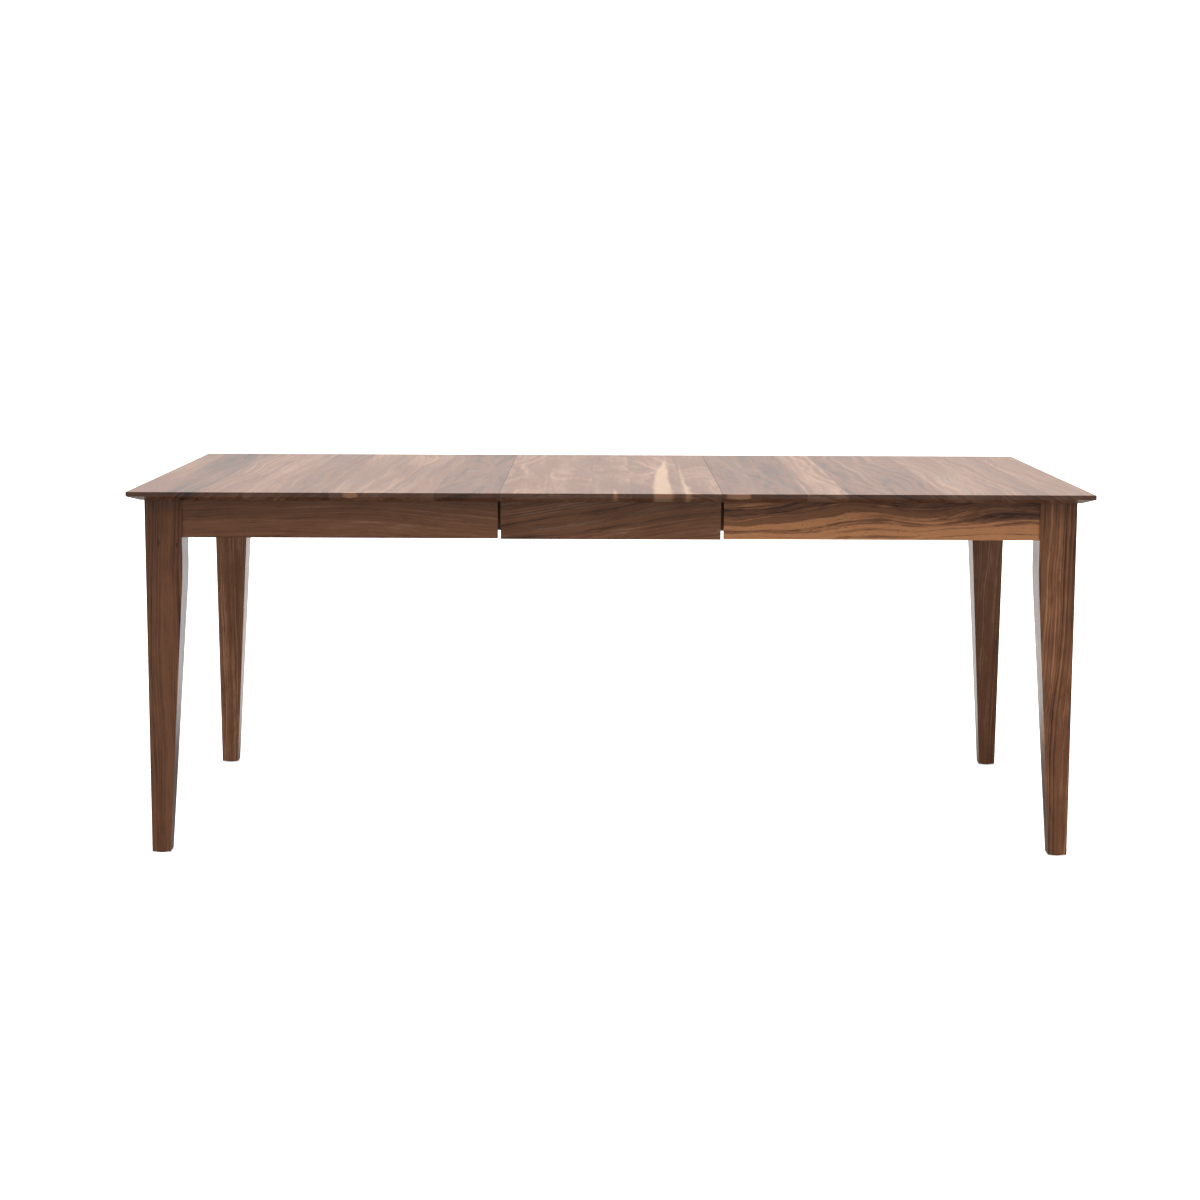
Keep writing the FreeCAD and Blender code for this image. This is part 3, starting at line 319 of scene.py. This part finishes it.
def grain_group():
    """Walnut as a solid: growth rings round a leaning, wandering heart, fibres, pores and slow colour drift.

    The position has the grain along X. Figure is how much the rings wander.
    """
    tree, given, put = new_group(
        "Walnut grain",
        [("Position", "Vector", (0, 0, 0)), ("Shift", "Vector", (0, 0, 0.06)), ("Tone", "Float", 0.5),
         ("Tone Spread", "Float", 0.3), ("Ring Width", "Float", 0.008), ("Figure", "Float", 1.0),
         ("Contrast", "Float", 1.0), ("End Grain", "Float", 0.0), ("Dark", "Color", (0, 0, 0, 1)),
         ("Middle", "Color", (0.1, 0.1, 0.1, 1)), ("Light", "Color", (0.2, 0.2, 0.2, 1))],
        [("Color", "Color"), ("Roughness", "Float"), ("Height", "Float"), ("Streak", "Float")],
    )
    place = vector_maths(tree, "ADD", given["Position"], given["Shift"])
    wander = noise(tree, place, (1.7, 6.0, 6.0), 2.0, 0.45)["Color"]
    ripple = noise(tree, place, (9.0, 26.0, 26.0), 1.0, 0.4)["Color"]
    bend = vector_maths(tree, "ADD", wander, vector_maths(tree, "MULTIPLY", ripple, (0, 0.11, 0.11)))
    bend = vector_maths(tree, "SUBTRACT", bend, (0.5, 0.555, 0.555))
    scaled = vector_maths(tree, "MULTIPLY", bend, (0, 0.085, 0.085))
    amount = combine(tree, given["Figure"], given["Figure"], given["Figure"])
    bent = vector_maths(tree, "ADD", place, vector_maths(tree, "MULTIPLY", scaled, amount))
    along, across, depth = separate(tree, bent)
    lean = maths(tree, "MULTIPLY_ADD", along, 0.022, depth)
    heart = combine(tree, 0.0, across, lean)
    ring_at = maths(tree, "DIVIDE", vector_maths(tree, "LENGTH", heart), given["Ring Width"])
    rings = add(tree, "ShaderNodeTexNoise", noise_dimensions="1D", Scale=1.0, Detail=3.0, Roughness=0.62)
    link(tree, (ring_at, rings.inputs["W"]))
    late = add(tree, "ShaderNodeTexNoise", noise_dimensions="1D", Scale=0.23, Detail=1.0, Roughness=0.5)
    link(tree, (ring_at, late.inputs["W"]))
    fibre = noise(tree, bent, (7.0, 520.0, 520.0), 2.0, 0.6)["Fac"]
    strand = noise(tree, bent, (2.2, 95.0, 95.0), 3.0, 0.62)["Fac"]
    drift = noise(tree, place, (1.3, 9.0, 9.0), 2.0, 0.5)["Fac"]
    mottle = noise(tree, place, (16.0, 30.0, 30.0), 2.0, 0.5)["Fac"]

    value = maths(tree, "MULTIPLY", maths(tree, "SUBTRACT", rings.outputs["Fac"], 0.5), 0.85)
    weights = ((late.outputs["Fac"], 0.6), (strand, 0.7), (fibre, 0.45), (drift, 0.8), (mottle, 0.35))
    for part, weight in weights:
        value = maths(tree, "MULTIPLY_ADD", maths(tree, "SUBTRACT", part, 0.5), weight, value)
    value = maths(tree, "MULTIPLY", value, given["Contrast"])
    tone = maths(tree, "MULTIPLY", maths(tree, "SUBTRACT", given["Tone"], 0.5), given["Tone Spread"])
    value = maths(tree, "ADD", maths(tree, "ADD", value, tone), 0.5)

    low = blend(tree, between(tree, value, 0.05, 0.5), given["Dark"], given["Middle"])
    wood = blend(tree, between(tree, value, 0.5, 1.0), low, given["Light"])
    warm = between(tree, noise(tree, place, (0.9, 14.0, 14.0), 1.0)["Fac"], 0.35, 0.65)
    wood = blend(tree, maths(tree, "MULTIPLY", warm, WARM_STRENGTH), wood, WARM_TINT, "MULTIPLY")

    streak_at = maths(tree, "MULTIPLY_ADD", maths(tree, "SUBTRACT", strand, 0.5), 0.5, late.outputs["Fac"])
    streak = between(tree, streak_at, 0.60, 0.70)
    strength = maths(tree, "MULTIPLY", given["Contrast"], STREAK_STRENGTH)
    wood = blend(tree, maths(tree, "MULTIPLY", streak, strength), wood, given["Dark"])
    pore = between(tree, noise(tree, bent, (55.0, 1150.0, 1150.0), 1.0, 0.5)["Fac"], 0.63, 0.72)
    wood = blend(tree, maths(tree, "MULTIPLY", pore, PORE_STRENGTH), wood, given["Dark"])
    ends = maths(tree, "MULTIPLY", given["End Grain"], END_GRAIN_DARKENING)
    wood = blend(tree, ends, wood, END_GRAIN_TINT, "MULTIPLY")

    shine = maths(tree, "MULTIPLY_ADD", fibre, 0.07, -0.035)
    shine = maths(tree, "MULTIPLY_ADD", mottle, 0.10, maths(tree, "ADD", shine, -0.05))
    shine = maths(tree, "MULTIPLY_ADD", pore, 0.12, shine)
    height = maths(tree, "MULTIPLY_ADD", fibre, 0.25, maths(tree, "MULTIPLY", pore, -1.0))
    link(
        tree, (wood, put["Color"]), (shine, put["Roughness"]), (height, put["Height"]), (streak, put["Streak"])
    )
    return tree


def sapwood_group():
    """One streak of sapwood that starts at the front edge and narrows to a point, as a mask."""
    tree, given, put = new_group(
        "Sapwood streak",
        [("Position", "Vector", (0, 0, 0)), ("Front", "Float", -0.5), ("Middle", "Float", 0.0),
         ("Half Width", "Float", 0.02), ("Lean", "Float", 0.0), ("Bow", "Float", 0.0), ("Reach", "Float", 1.0),
         ("Blunt", "Float", 2.0)],
        [("Mask", "Float")],
    )
    across, along, depth = separate(tree, given["Position"])
    far = maths(tree, "MAXIMUM", maths(tree, "SUBTRACT", along, given["Front"]), 0.0)
    bow = maths(tree, "MULTIPLY", maths(tree, "MULTIPLY", far, far), given["Bow"])
    middle = maths(tree, "ADD", maths(tree, "MULTIPLY_ADD", far, given["Lean"], given["Middle"]), bow)
    wave = noise(tree, given["Position"], (60.0, 7.0, 20.0), 3.0, 0.6)["Fac"]
    middle = maths(tree, "MULTIPLY_ADD", maths(tree, "SUBTRACT", wave, 0.5), 0.022, middle)
    gone = maths(tree, "DIVIDE", far, given["Reach"])
    left = maths(tree, "MAXIMUM", maths(tree, "SUBTRACT", 1.0, maths(tree, "POWER", gone, given["Blunt"])), 0.0)
    half = maths(tree, "MULTIPLY", given["Half Width"], left)
    away = maths(tree, "ABSOLUTE", maths(tree, "SUBTRACT", across, middle))
    inside = maths(tree, "SUBTRACT", half, away)
    link(tree, (between(tree, inside, -0.002, 0.009), put["Mask"]))
    return tree


def knot_group():
    """A small knot as a mask. Squeeze is above one along the axes where the knot is narrower than Size."""
    tree, given, put = new_group(
        "Knot",
        [("Position", "Vector", (0, 0, 0)), ("Centre", "Vector", (0, 0, 0)), ("Size", "Float", 0.01),
         ("Squeeze", "Vector", (1.3, 0.05, 0.4))],
        [("Mask", "Float")],
    )
    apart = vector_maths(tree, "SUBTRACT", given["Position"], given["Centre"])
    rough = noise(tree, given["Position"], (90.0, 160.0, 160.0), 2.0)["Color"]
    apart = vector_maths(tree, "ADD", apart, vector_maths(tree, "MULTIPLY", rough, (0.002, 0.002, 0.002)))
    apart = vector_maths(tree, "MULTIPLY", apart, given["Squeeze"])
    reach = maths(tree, "DIVIDE", vector_maths(tree, "LENGTH", apart), given["Size"])
    link(tree, (between(tree, reach, 0.25, 1.0, 1.0, 0.0), put["Mask"]))
    return tree


def handling_group():
    """Fine scuffs and dull patches that break up the shine of metal and plastic."""
    tree, given, put = new_group(
        "Handling marks",
        [("Position", "Vector", (0, 0, 0)), ("Amount", "Float", 1.0)],
        [("Roughness", "Float"), ("Tint", "Float"), ("Height", "Float")],
    )
    patch = noise(tree, given["Position"], (90.0, 90.0, 90.0), 4.0, 0.6)["Fac"]
    scuff = noise(tree, given["Position"], (2600.0, 300.0, 900.0), 2.0, 0.55)["Fac"]
    rough = maths(tree, "MULTIPLY_ADD", maths(tree, "SUBTRACT", patch, 0.5), 0.35, 0.0)
    rough = maths(tree, "MULTIPLY_ADD", maths(tree, "SUBTRACT", scuff, 0.5), 0.2, rough)
    link(
        tree,
        (maths(tree, "MULTIPLY", rough, given["Amount"]), put["Roughness"]),
        (between(tree, patch, 0.3, 0.7), put["Tint"]),
        (maths(tree, "MULTIPLY", scuff, given["Amount"]), put["Height"]),
    )
    return tree


GROUP_MAKERS = {
    "Glued boards": board_group,
    "Walnut grain": grain_group,
    "Sapwood streak": sapwood_group,
    "Knot": knot_group,
    "Handling marks": handling_group,
}


def group(name):
    """A shared effect, built when first needed."""
    return bpy.data.node_groups.get(name) or GROUP_MAKERS[name]()


# Materials

def blank_material(name):
    """A material with only a Principled BSDF, its output and object coordinates."""
    material = bpy.data.materials.new(name)
    material.use_nodes = True
    tree = clear_tree(material.node_tree)
    shader = add(tree, "ShaderNodeBsdfPrincipled", 600)
    output = add(tree, "ShaderNodeOutputMaterial", 900)
    link(tree, (shader.outputs["BSDF"], output.inputs["Surface"]))
    coordinates = add(tree, "ShaderNodeTexCoord", -900)
    return material, tree, shader, coordinates.outputs


GRAIN_TURNS = {"X": (0, 0, 0), "Y": (0, 0, -math.pi / 2), "Z": (0, math.pi / 2, 0)}


def grain_position(tree, coordinates, axis, offset, slant=0.0):
    """Object coordinates turned so that the grain runs along X, and moved to another part of the log."""
    mapping = add(tree, "ShaderNodeMapping", -700, vector_type="POINT")
    turn_x, turn_y, turn_z = GRAIN_TURNS[axis]
    mapping.inputs["Rotation"].default_value = (turn_x, turn_y + slant, turn_z)
    mapping.inputs["Location"].default_value = offset
    link(tree, (coordinates["Object"], mapping.inputs["Vector"]))
    return mapping.outputs["Vector"]


def end_grain_mask(tree, coordinates, axis):
    """One on faces across the grain and nothing on faces along it."""
    parts = separate(tree, coordinates["Normal"])
    facing = maths(tree, "ABSOLUTE", parts["XYZ".index(axis)])
    return between(tree, facing, 0.45, 0.9)


def walnut(name, axis, offset, tone=0.5, figure=1.0, contrast=1.0, warmth=0.0, slant=0.0, fades=(), knots=()):
    """Oiled walnut cut from one board.

    A fade is an axis, where it starts and ends, and how much lighter it gets.
    """
    wood = bpy.context.scene.walnut_settings
    light = Vector(wood.light).lerp(Vector(wood.amber), warmth)
    material, tree, shader, coordinates = blank_material(name)
    position = grain_position(tree, coordinates, axis, offset, slant)
    for fade_axis, start, end, amount in fades:
        place = separate(tree, coordinates["Object"])["XYZ".index(fade_axis)]
        tone = maths(tree, "ADD", between(tree, place, start, end, 0.0, amount), tone)
    grain = place_group(
        tree, group("Walnut grain"), Position=position, Tone=tone, Tone_Spread=0.7, Figure=figure,
        Contrast=contrast, Ring_Width=wood.ring_width, End_Grain=end_grain_mask(tree, coordinates, axis),
        Dark=rgba(wood.dark), Middle=rgba(wood.middle), Light=rgba(light),
    )
    shade = grain["Color"]
    for centre, size in knots:
        mask = place_group(
            tree, group("Knot"), Position=coordinates["Object"], Centre=centre, Size=size
        )["Mask"]
        shade = blend(tree, maths(tree, "MULTIPLY", mask, KNOT_STRENGTH), shade, rgba(wood.knot))
    oiled(tree, shader, shade, grain, wood.base_roughness, wood.base_gloss)
    return material


def oiled(tree, shader, shade, grain, roughness, gloss):
    """A satin oil finish over a grain."""
    wood = bpy.context.scene.walnut_settings
    shader.inputs["Specular IOR Level"].default_value = gloss
    bump = add(tree, "ShaderNodeBump", 300, Strength=PORE_BUMP, Distance=wood.pore_depth)
    link(tree, (shade, shader.inputs["Base Color"]), (grain["Height"], bump.inputs["Height"]))
    link(tree, (maths(tree, "ADD", grain["Roughness"], roughness, clamp=True), shader.inputs["Roughness"]))
    link(tree, (bump.outputs["Normal"], shader.inputs["Normal"]))


def board_top(name, seed, tone, sapwood=()):
    """Edge-glued boards that run from front to rear, with the streaks of sapwood that a piece has."""
    wood = bpy.context.scene.walnut_settings
    material, tree, shader, coordinates = blank_material(name)
    across = separate(tree, coordinates["Object"])["X"]
    boards = place_group(
        tree, group("Glued boards"), Across=across, Board_Width=wood.board_width,
        Joint_Width=wood.joint_width, Seed=seed,
    )
    position = grain_position(tree, coordinates, "Y", (seed, 0, 0))
    mixed = maths(tree, "ADD", maths(tree, "SUBTRACT", boards["Tone"], 0.5), tone)
    ends = end_grain_mask(tree, coordinates, "Y")
    grain = place_group(
        tree, group("Walnut grain"), Position=position, Shift=boards["Shift"], Tone=mixed, Tone_Spread=0.36,
        Figure=0.62, Contrast=0.9, Ring_Width=wood.ring_width,
        End_Grain=ends,
        Dark=rgba(wood.dark), Middle=rgba(wood.middle), Light=rgba(wood.light),
    )
    shade = grain["Color"]
    darker = maths(tree, "MULTIPLY", ends, END_GRAIN_DARKENING)
    pale = blend(tree, darker, rgba(wood.sapwood), SAPWOOD_END_TINT, "MULTIPLY")
    for streak in sapwood:
        mask = place_group(
            tree, group("Sapwood streak"), Position=coordinates["Object"], Front=CAD_BOX[0][1], **streak
        )["Mask"]
        shade = blend(tree, maths(tree, "MULTIPLY", mask, SAPWOOD_STRENGTH), shade, pale)
    shade = blend(tree, maths(tree, "MULTIPLY", boards["Joint"], JOINT_STRENGTH), shade, rgba(wood.dark))
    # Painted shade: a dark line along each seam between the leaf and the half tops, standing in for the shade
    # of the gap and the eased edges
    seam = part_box("leaf_top")[1][0]
    away = maths(tree, "ABSOLUTE", maths(tree, "SUBTRACT", maths(tree, "ABSOLUTE", across), seam))
    painted_seam_shade = between(tree, away, SEAM_SHADE_CORE, wood.seam_shade_width, SEAM_SHADE_STRENGTH, 0.0)
    shade = blend(tree, painted_seam_shade, shade, rgba(wood.dark))
    oiled(tree, shader, shade, grain, wood.top_roughness, wood.top_gloss)
    return material


def maple(name, axis, offset):
    """Sealed maple for rails and blocks, its colours darkened as painted shade."""
    slide = bpy.context.scene.slide_settings
    material, tree, shader, coordinates = blank_material(name)
    position = grain_position(tree, coordinates, axis, offset)
    grain = place_group(
        tree, group("Walnut grain"), Position=position, Tone=0.6, Figure=0.5, Contrast=0.55, Ring_Width=0.005,
        End_Grain=end_grain_mask(tree, coordinates, axis), Dark=rgba(slide.maple_dark_and_painted_shade),
        Middle=rgba(slide.maple_dark_and_painted_shade), Light=rgba(slide.maple_light_and_painted_shade),
    )
    oiled(tree, shader, grain["Color"], grain, roughness=0.45, gloss=0.3)
    return material


def hard_finish(name, shade, metallic, roughness, amount=1.0, tint=0.25):
    """Metal or plastic with handling marks."""
    material, tree, shader, coordinates = blank_material(name)
    shader.inputs["Metallic"].default_value = metallic
    marks = place_group(tree, group("Handling marks"), Position=coordinates["Object"], Amount=amount)
    darker = tuple(channel * (1 - tint) for channel in shade)
    link(
        tree,
        (blend(tree, marks["Tint"], rgba(shade), rgba(darker)), shader.inputs["Base Color"]),
        (maths(tree, "ADD", marks["Roughness"], roughness, clamp=True), shader.inputs["Roughness"]),
    )
    bump = add(tree, "ShaderNodeBump", 300, Strength=SCUFF_BUMP, Distance=SCUFF_DEPTH)
    link(tree, (marks["Height"], bump.inputs["Height"]), (bump.outputs["Normal"], shader.inputs["Normal"]))
    return material


def paint(node, material):
    """Gives a part one material."""
    mesh = PARTS[node].data
    mesh.materials.clear()
    mesh.materials.append(material)


# Operators, one for each group of like pieces

class FinishTops(bpy.types.Operator):
    """Give both half tops boards of oiled walnut"""

    bl_idname = "table.finish_tops"
    bl_label = "Finish tops"

    def execute(self, context):
        shallow = {"Lean": 0.0, "Bow": 0.0, "Reach": 0.010, "Blunt": 1.0}
        left_patch = {"Middle": -0.532, "Half_Width": 0.016, **shallow}
        right_patch = {"Middle": 0.262, "Half_Width": 0.026, **shallow}
        paint("left_top", board_top("walnut_left_top", 3.4, 0.56, (left_patch,)))
        paint("right_top", board_top("walnut_right_top", 21.7, 0.56, (right_patch,)))
        return {"FINISHED"}


class FinishLeaf(bpy.types.Operator):
    """Give the leaf boards of oiled walnut with streaks of sapwood"""

    bl_idname = "table.finish_leaf"
    bl_label = "Finish leaf"

    def execute(self, context):
        streaks = (
            {"Middle": 0.107, "Half_Width": 0.023, "Lean": 0.008, "Bow": 0.022, "Reach": 0.95, "Blunt": 1.7},
            {"Middle": 0.157, "Half_Width": 0.010, "Lean": -0.006, "Bow": 0.012, "Reach": 0.90, "Blunt": 0.9},
            {"Middle": 0.010, "Half_Width": 0.007, "Lean": -0.03, "Bow": 0.0, "Reach": 0.13, "Blunt": 1.0},
        )
        paint("leaf_top", board_top("walnut_leaf_top", 11.2, 0.48, streaks))
        return {"FINISHED"}


class FinishAprons(bpy.types.Operator):
    """Give each apron its own length of oiled walnut"""

    bl_idname = "table.finish_aprons"
    bl_label = "Finish aprons"

    def execute(self, context):
        low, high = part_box("front_right_apron")[0][2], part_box("front_right_apron")[1][2]
        leaf_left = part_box("front_leaf_apron")[0][0]
        leaf_fade = (("X", leaf_left, leaf_left + 0.12, 0.25),)
        right_fade = (("Z", high - 0.02, low + 0.02, 0.78),)
        looks = {
            "front_left_apron": dict(offset=(0.31, 0.52, -0.66), tone=0.50, figure=0.8, contrast=0.8),
            "front_leaf_apron": dict(
                offset=(5.10, 0.58, -0.62), tone=0.28, figure=0.9, contrast=0.9, slant=0.16, fades=leaf_fade
            ),
            "front_right_apron": dict(
                offset=(9.65, 0.43, -0.73), tone=0.44, figure=1.5, contrast=1.6, warmth=0.9, fades=right_fade
            ),
            "rear_left_apron": dict(offset=(14.2, -0.40, -0.64), tone=0.50, contrast=0.9, warmth=0.2),
            "rear_leaf_apron": dict(
                offset=(17.9, -0.39, -0.60), tone=0.42, figure=0.9, contrast=0.9, slant=0.08
            ),
            "rear_right_apron": dict(offset=(23.3, -0.42, -0.66), tone=0.60, figure=1.1, warmth=0.5),
            "left_end_apron": dict(offset=(27.4, 0.86, -0.63), tone=0.48, figure=0.9, contrast=0.9, warmth=0.1),
            "right_end_apron": dict(offset=(33.8, -0.90, -0.65), tone=0.62, figure=1.1, warmth=0.4),
        }
        for node, look in looks.items():
            axis = "Y" if "_end_" in node else "X"
            paint(node, walnut("walnut_" + node, axis, **look))
        return {"FINISHED"}


class FinishLegs(bpy.types.Operator):
    """Give each leg its own billet of oiled walnut, the rear legs made lighter partly as painted light"""

    bl_idname = "table.finish_legs"
    bl_label = "Finish legs"

    def execute(self, context):
        left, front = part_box("front_left_leg")[0][0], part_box("front_left_leg")[0][1]
        pins = (
            ((left + 0.029, front, 0.655), 0.0045),
            ((left + 0.067, front, 0.650), 0.0040),
        )
        looks = {
            "front_left_leg": dict(offset=(1.3, 0.47, -0.92), tone=0.21, figure=0.6, contrast=0.6, knots=pins),
            "front_right_leg": dict(offset=(6.2, 0.44, 0.88), tone=0.40, figure=0.9, contrast=1.25, warmth=0.7),
            # The rear legs' higher tones are partly their own wood and partly painted light that makes up for
            # the shade under the table
            "rear_left_leg": dict(offset=(11.6, -0.43, -0.90), tone=0.80, figure=0.8, contrast=0.9, warmth=0.3),
            "rear_right_leg": dict(offset=(16.4, -0.41, 0.86), tone=0.62, figure=0.8, contrast=0.9, warmth=0.1),
        }
        for node, look in looks.items():
            paint(node, walnut("walnut_" + node, "Z", **look))
        return {"FINISHED"}


class FinishSlides(bpy.types.Operator):
    """Give the slide rails sealed maple darkened as painted shade, and their guides, racks and pinions their
    own finishes
    """

    bl_idname = "table.finish_slides"
    bl_label = "Finish slides"

    def execute(self, context):
        slide = context.scene.slide_settings
        steel = hard_finish("slide_steel", slide.zinc, 1.0, 0.36)
        nylon = hard_finish("pinion_nylon", slide.nylon, 0.0, 0.5, 0.6, 0.12)
        for place, row in enumerate(("front", "rear")):
            for turn, kind in enumerate(("left", "centre", "right")):
                node = f"{row}_{kind}_rail"
                # The rails' dark maple is painted shade in the gaps between the aprons as well as the rails'
                # own colour
                paint(node, maple("maple_" + node, "X", (4.1 * turn + 13.7 * place, 0.2 * turn, 0.11)))
            for node in (f"{row}_left_rack", f"{row}_right_rack", f"{row}_guides"):
                paint(node, steel)
            paint(f"{row}_pinion", nylon)
        for node in ("left_slide_stops", "right_slide_stops", "pinion_axles"):
            paint(node, steel)
        return {"FINISHED"}


class FinishBlocks(bpy.types.Operator):
    """Give the corner blocks and the leaf's glue blocks sealed maple darkened as painted shade"""

    bl_idname = "table.finish_blocks"
    bl_label = "Finish blocks"

    def execute(self, context):
        for turn, node in enumerate(("left_corner_blocks", "right_corner_blocks", "leaf_glue_blocks")):
            axis = "X" if node.startswith("leaf") else "Z"
            paint(node, maple("maple_" + node, axis, (2.6 * turn, 0.3, 0.15)))
        return {"FINISHED"}


class FinishFasteners(bpy.types.Operator):
    """Give the bolts, nuts, clips and screws plated steel"""

    bl_idname = "table.finish_fasteners"
    bl_label = "Finish fasteners"

    def execute(self, context):
        slide = context.scene.slide_settings
        zinc = hard_finish("fastener_zinc", slide.zinc, 1.0, 0.33)
        yellow = hard_finish("clip_yellow_zinc", slide.yellow_zinc, 1.0, 0.35)
        for half in ("left", "right"):
            for kind in ("hanger_bolts", "bolt_nuts", "rail_screws", "small_screws"):
                paint(f"{half}_{kind}", zinc)
            paint(f"{half}_top_clips", yellow)
        paint("leaf_small_screws", zinc)
        return {"FINISHED"}


class FinishLocks(bpy.types.Operator):
    """Give the lock plates and keepers yellow plated steel, and the levers zinc plated steel"""

    bl_idname = "table.finish_locks"
    bl_label = "Finish locks"

    def execute(self, context):
        slide = context.scene.slide_settings
        plate = hard_finish("lock_plate_yellow_zinc", slide.yellow_zinc, 1.0, 0.38)
        lever = hard_finish("lock_lever_zinc", slide.zinc, 1.0, 0.28)
        for node in ("left_lock_plates", "leaf_lock_plates", "leaf_lock_keepers", "right_lock_keepers"):
            paint(node, plate)
        for row in ("front", "rear"):
            paint(f"{row}_left_lock_lever", lever)
            paint(f"{row}_leaf_lock_lever", lever)
        return {"FINISHED"}


class FinishPins(bpy.types.Operator):
    """Give the seam pins and their sockets brass"""

    bl_idname = "table.finish_pins"
    bl_label = "Finish pins"

    def execute(self, context):
        brass = hard_finish("pin_brass", context.scene.slide_settings.brass, 1.0, 0.3)
        for node in ("left_alignment_pins", "leaf_alignment_pins", "leaf_pin_sockets", "right_pin_sockets"):
            paint(node, brass)
        return {"FINISHED"}


class FinishGlides(bpy.types.Operator):
    """Give the glides near-black moulded nylon, dark partly as painted shade under the feet"""

    bl_idname = "table.finish_glides"
    bl_label = "Finish glides"

    def execute(self, context):
        # The glides' near-black colour is partly their own and partly painted shade under the feet
        dark = hard_finish("glide_nylon_and_foot_shade", context.scene.slide_settings.glide, 0.0, 0.5, 0.5, 0.3)
        paint("left_glides", dark)
        paint("right_glides", dark)
        return {"FINISHED"}


class SetStage(bpy.types.Operator):
    """Set up the floor, the lights and the camera"""

    bl_idname = "table.set_stage"
    bl_label = "Set stage"

    def execute(self, context):
        studio = context.scene.studio_settings
        bpy.ops.object.select_all(action="DESELECT")
        bpy.ops.mesh.primitive_plane_add(size=studio.floor_size, location=(0, 0, CAD_BOX[0][2]))
        floor = context.active_object
        floor.name = "studio_floor"
        bpy.ops.object.transform_apply(location=True, rotation=True, scale=True)
        material, tree, shader, coordinates = blank_material("studio_floor")
        seen = add(tree, "ShaderNodeLightPath").outputs["Is Camera Ray"]
        rearward = separate(tree, coordinates["Object"])["Y"]
        share = between(tree, rearward, *BOUNCE_FADE, studio.bounce, studio.rear_bounce)
        share = maths(tree, "MAXIMUM", share, seen)
        link(
            tree,
            (blend(tree, share, (0, 0, 0, 1), rgba(studio.floor)), shader.inputs["Base Color"]),
            (maths(tree, "MULTIPLY", seen, studio.floor_glow), shader.inputs["Emission Strength"]),
        )
        shader.inputs["Roughness"].default_value = 0.9
        shader.inputs["Specular IOR Level"].default_value = 0.1
        shader.inputs["Emission Color"].default_value = rgba(studio.floor)
        one_sided(tree, shader)
        floor.data.materials.append(material)
        set_backdrop(context, studio)
        set_overhead(studio)
        set_camera(context, studio)
        return {"FINISHED"}


def one_sided(tree, shader):
    """Lets a view from under the floor through."""
    clear = add(tree, "ShaderNodeBsdfTransparent")
    choice = add(tree, "ShaderNodeMixShader")
    output = next(node for node in tree.nodes if node.type == "OUTPUT_MATERIAL")
    link(
        tree,
        (add(tree, "ShaderNodeNewGeometry").outputs["Backfacing"], choice.inputs[0]),
        (shader.outputs[0], choice.inputs[1]),
        (clear.outputs[0], choice.inputs[2]),
        (choice.outputs[0], output.inputs["Surface"]),
    )


def set_backdrop(context, studio):
    """A white backdrop that is dimmer behind the camera."""
    world = bpy.data.worlds.new("studio_backdrop")
    world.use_nodes = True
    tree = clear_tree(world.node_tree)
    coordinates = add(tree, "ShaderNodeTexCoord")
    rearward = separate(tree, coordinates.outputs["Generated"])["Y"]
    glow = between(tree, rearward, -SKY_FADE, SKY_FADE, studio.front, studio.sky)
    seen = add(tree, "ShaderNodeLightPath").outputs["Is Camera Ray"]
    strength = maths(tree, "MAXIMUM", glow, maths(tree, "MULTIPLY", seen, BACKDROP_SEEN))
    background = add(tree, "ShaderNodeBackground", Color=(1, 1, 1, 1))
    output = add(tree, "ShaderNodeOutputWorld")
    link(
        tree, (strength, background.inputs["Strength"]), (background.outputs[0], output.inputs["Surface"])
    )
    context.scene.world = world
    context.scene.view_settings.view_transform = "Standard"


def set_overhead(studio):
    """A soft even light from straight above."""
    light = bpy.data.lights.new("overhead", "SUN")
    light.energy = studio.overhead
    light.angle = OVERHEAD_SPREAD
    lamp = bpy.data.objects.new("overhead", light)
    lamp.rotation_euler = OVERHEAD_TILT
    bpy.context.collection.objects.link(lamp)


def set_camera(context, studio):
    """A camera that looks along the table from the front, slightly down."""
    data = bpy.data.cameras.new("view")
    data.lens = studio.lens
    data.sensor_width = FRAME_WIDTH
    data.clip_end = VIEW_DISTANCE
    camera = bpy.data.objects.new("view", data)
    context.collection.objects.link(camera)
    turned = Matrix.Rotation(-studio.yaw, 4, "Z") @ Matrix.Rotation(math.pi / 2 - studio.pitch, 4, "X")
    turned = turned @ Matrix.Rotation(studio.roll, 4, "Z")
    camera.matrix_world = Matrix.Translation(Vector(studio.eye)) @ turned
    context.scene.camera = camera


class TablePanel(bpy.types.Panel):
    """Buttons for each group of pieces"""

    bl_idname = "VIEW3D_PT_table"
    bl_label = "Table"
    bl_space_type = "VIEW_3D"
    bl_region_type = "UI"
    bl_category = "Table"

    def draw(self, context):
        for operator in OPERATORS:
            self.layout.operator(operator.bl_idname)
        for holder in SETTINGS:
            settings = getattr(context.scene, holder)
            for name in settings.__annotations__:
                self.layout.prop(settings, name)


OPERATORS = (
    FinishTops, FinishLeaf, FinishAprons, FinishLegs, FinishSlides, FinishBlocks, FinishFasteners,
    FinishLocks, FinishPins, FinishGlides, SetStage,
)
SETTINGS = {
    "walnut_settings": WalnutSettings,
    "slide_settings": SlideSettings,
    "studio_settings": StudioSettings,
}


def register():
    for item in (*SETTINGS.values(), *OPERATORS, TablePanel):
        bpy.utils.register_class(item)
    for name, item in SETTINGS.items():
        setattr(bpy.types.Scene, name, bpy.props.PointerProperty(type=item))


def unregister():
    for name in SETTINGS:
        delattr(bpy.types.Scene, name)
    for item in (TablePanel, *reversed(OPERATORS), *SETTINGS.values()):
        bpy.utils.unregister_class(item)


def main():
    register()
    bpy.ops.object.select_all(action="DESELECT")
    for operator in OPERATORS:
        area, name = operator.bl_idname.split(".")
        getattr(getattr(bpy.ops, area), name)()


if __name__ == "__main__":
    main()
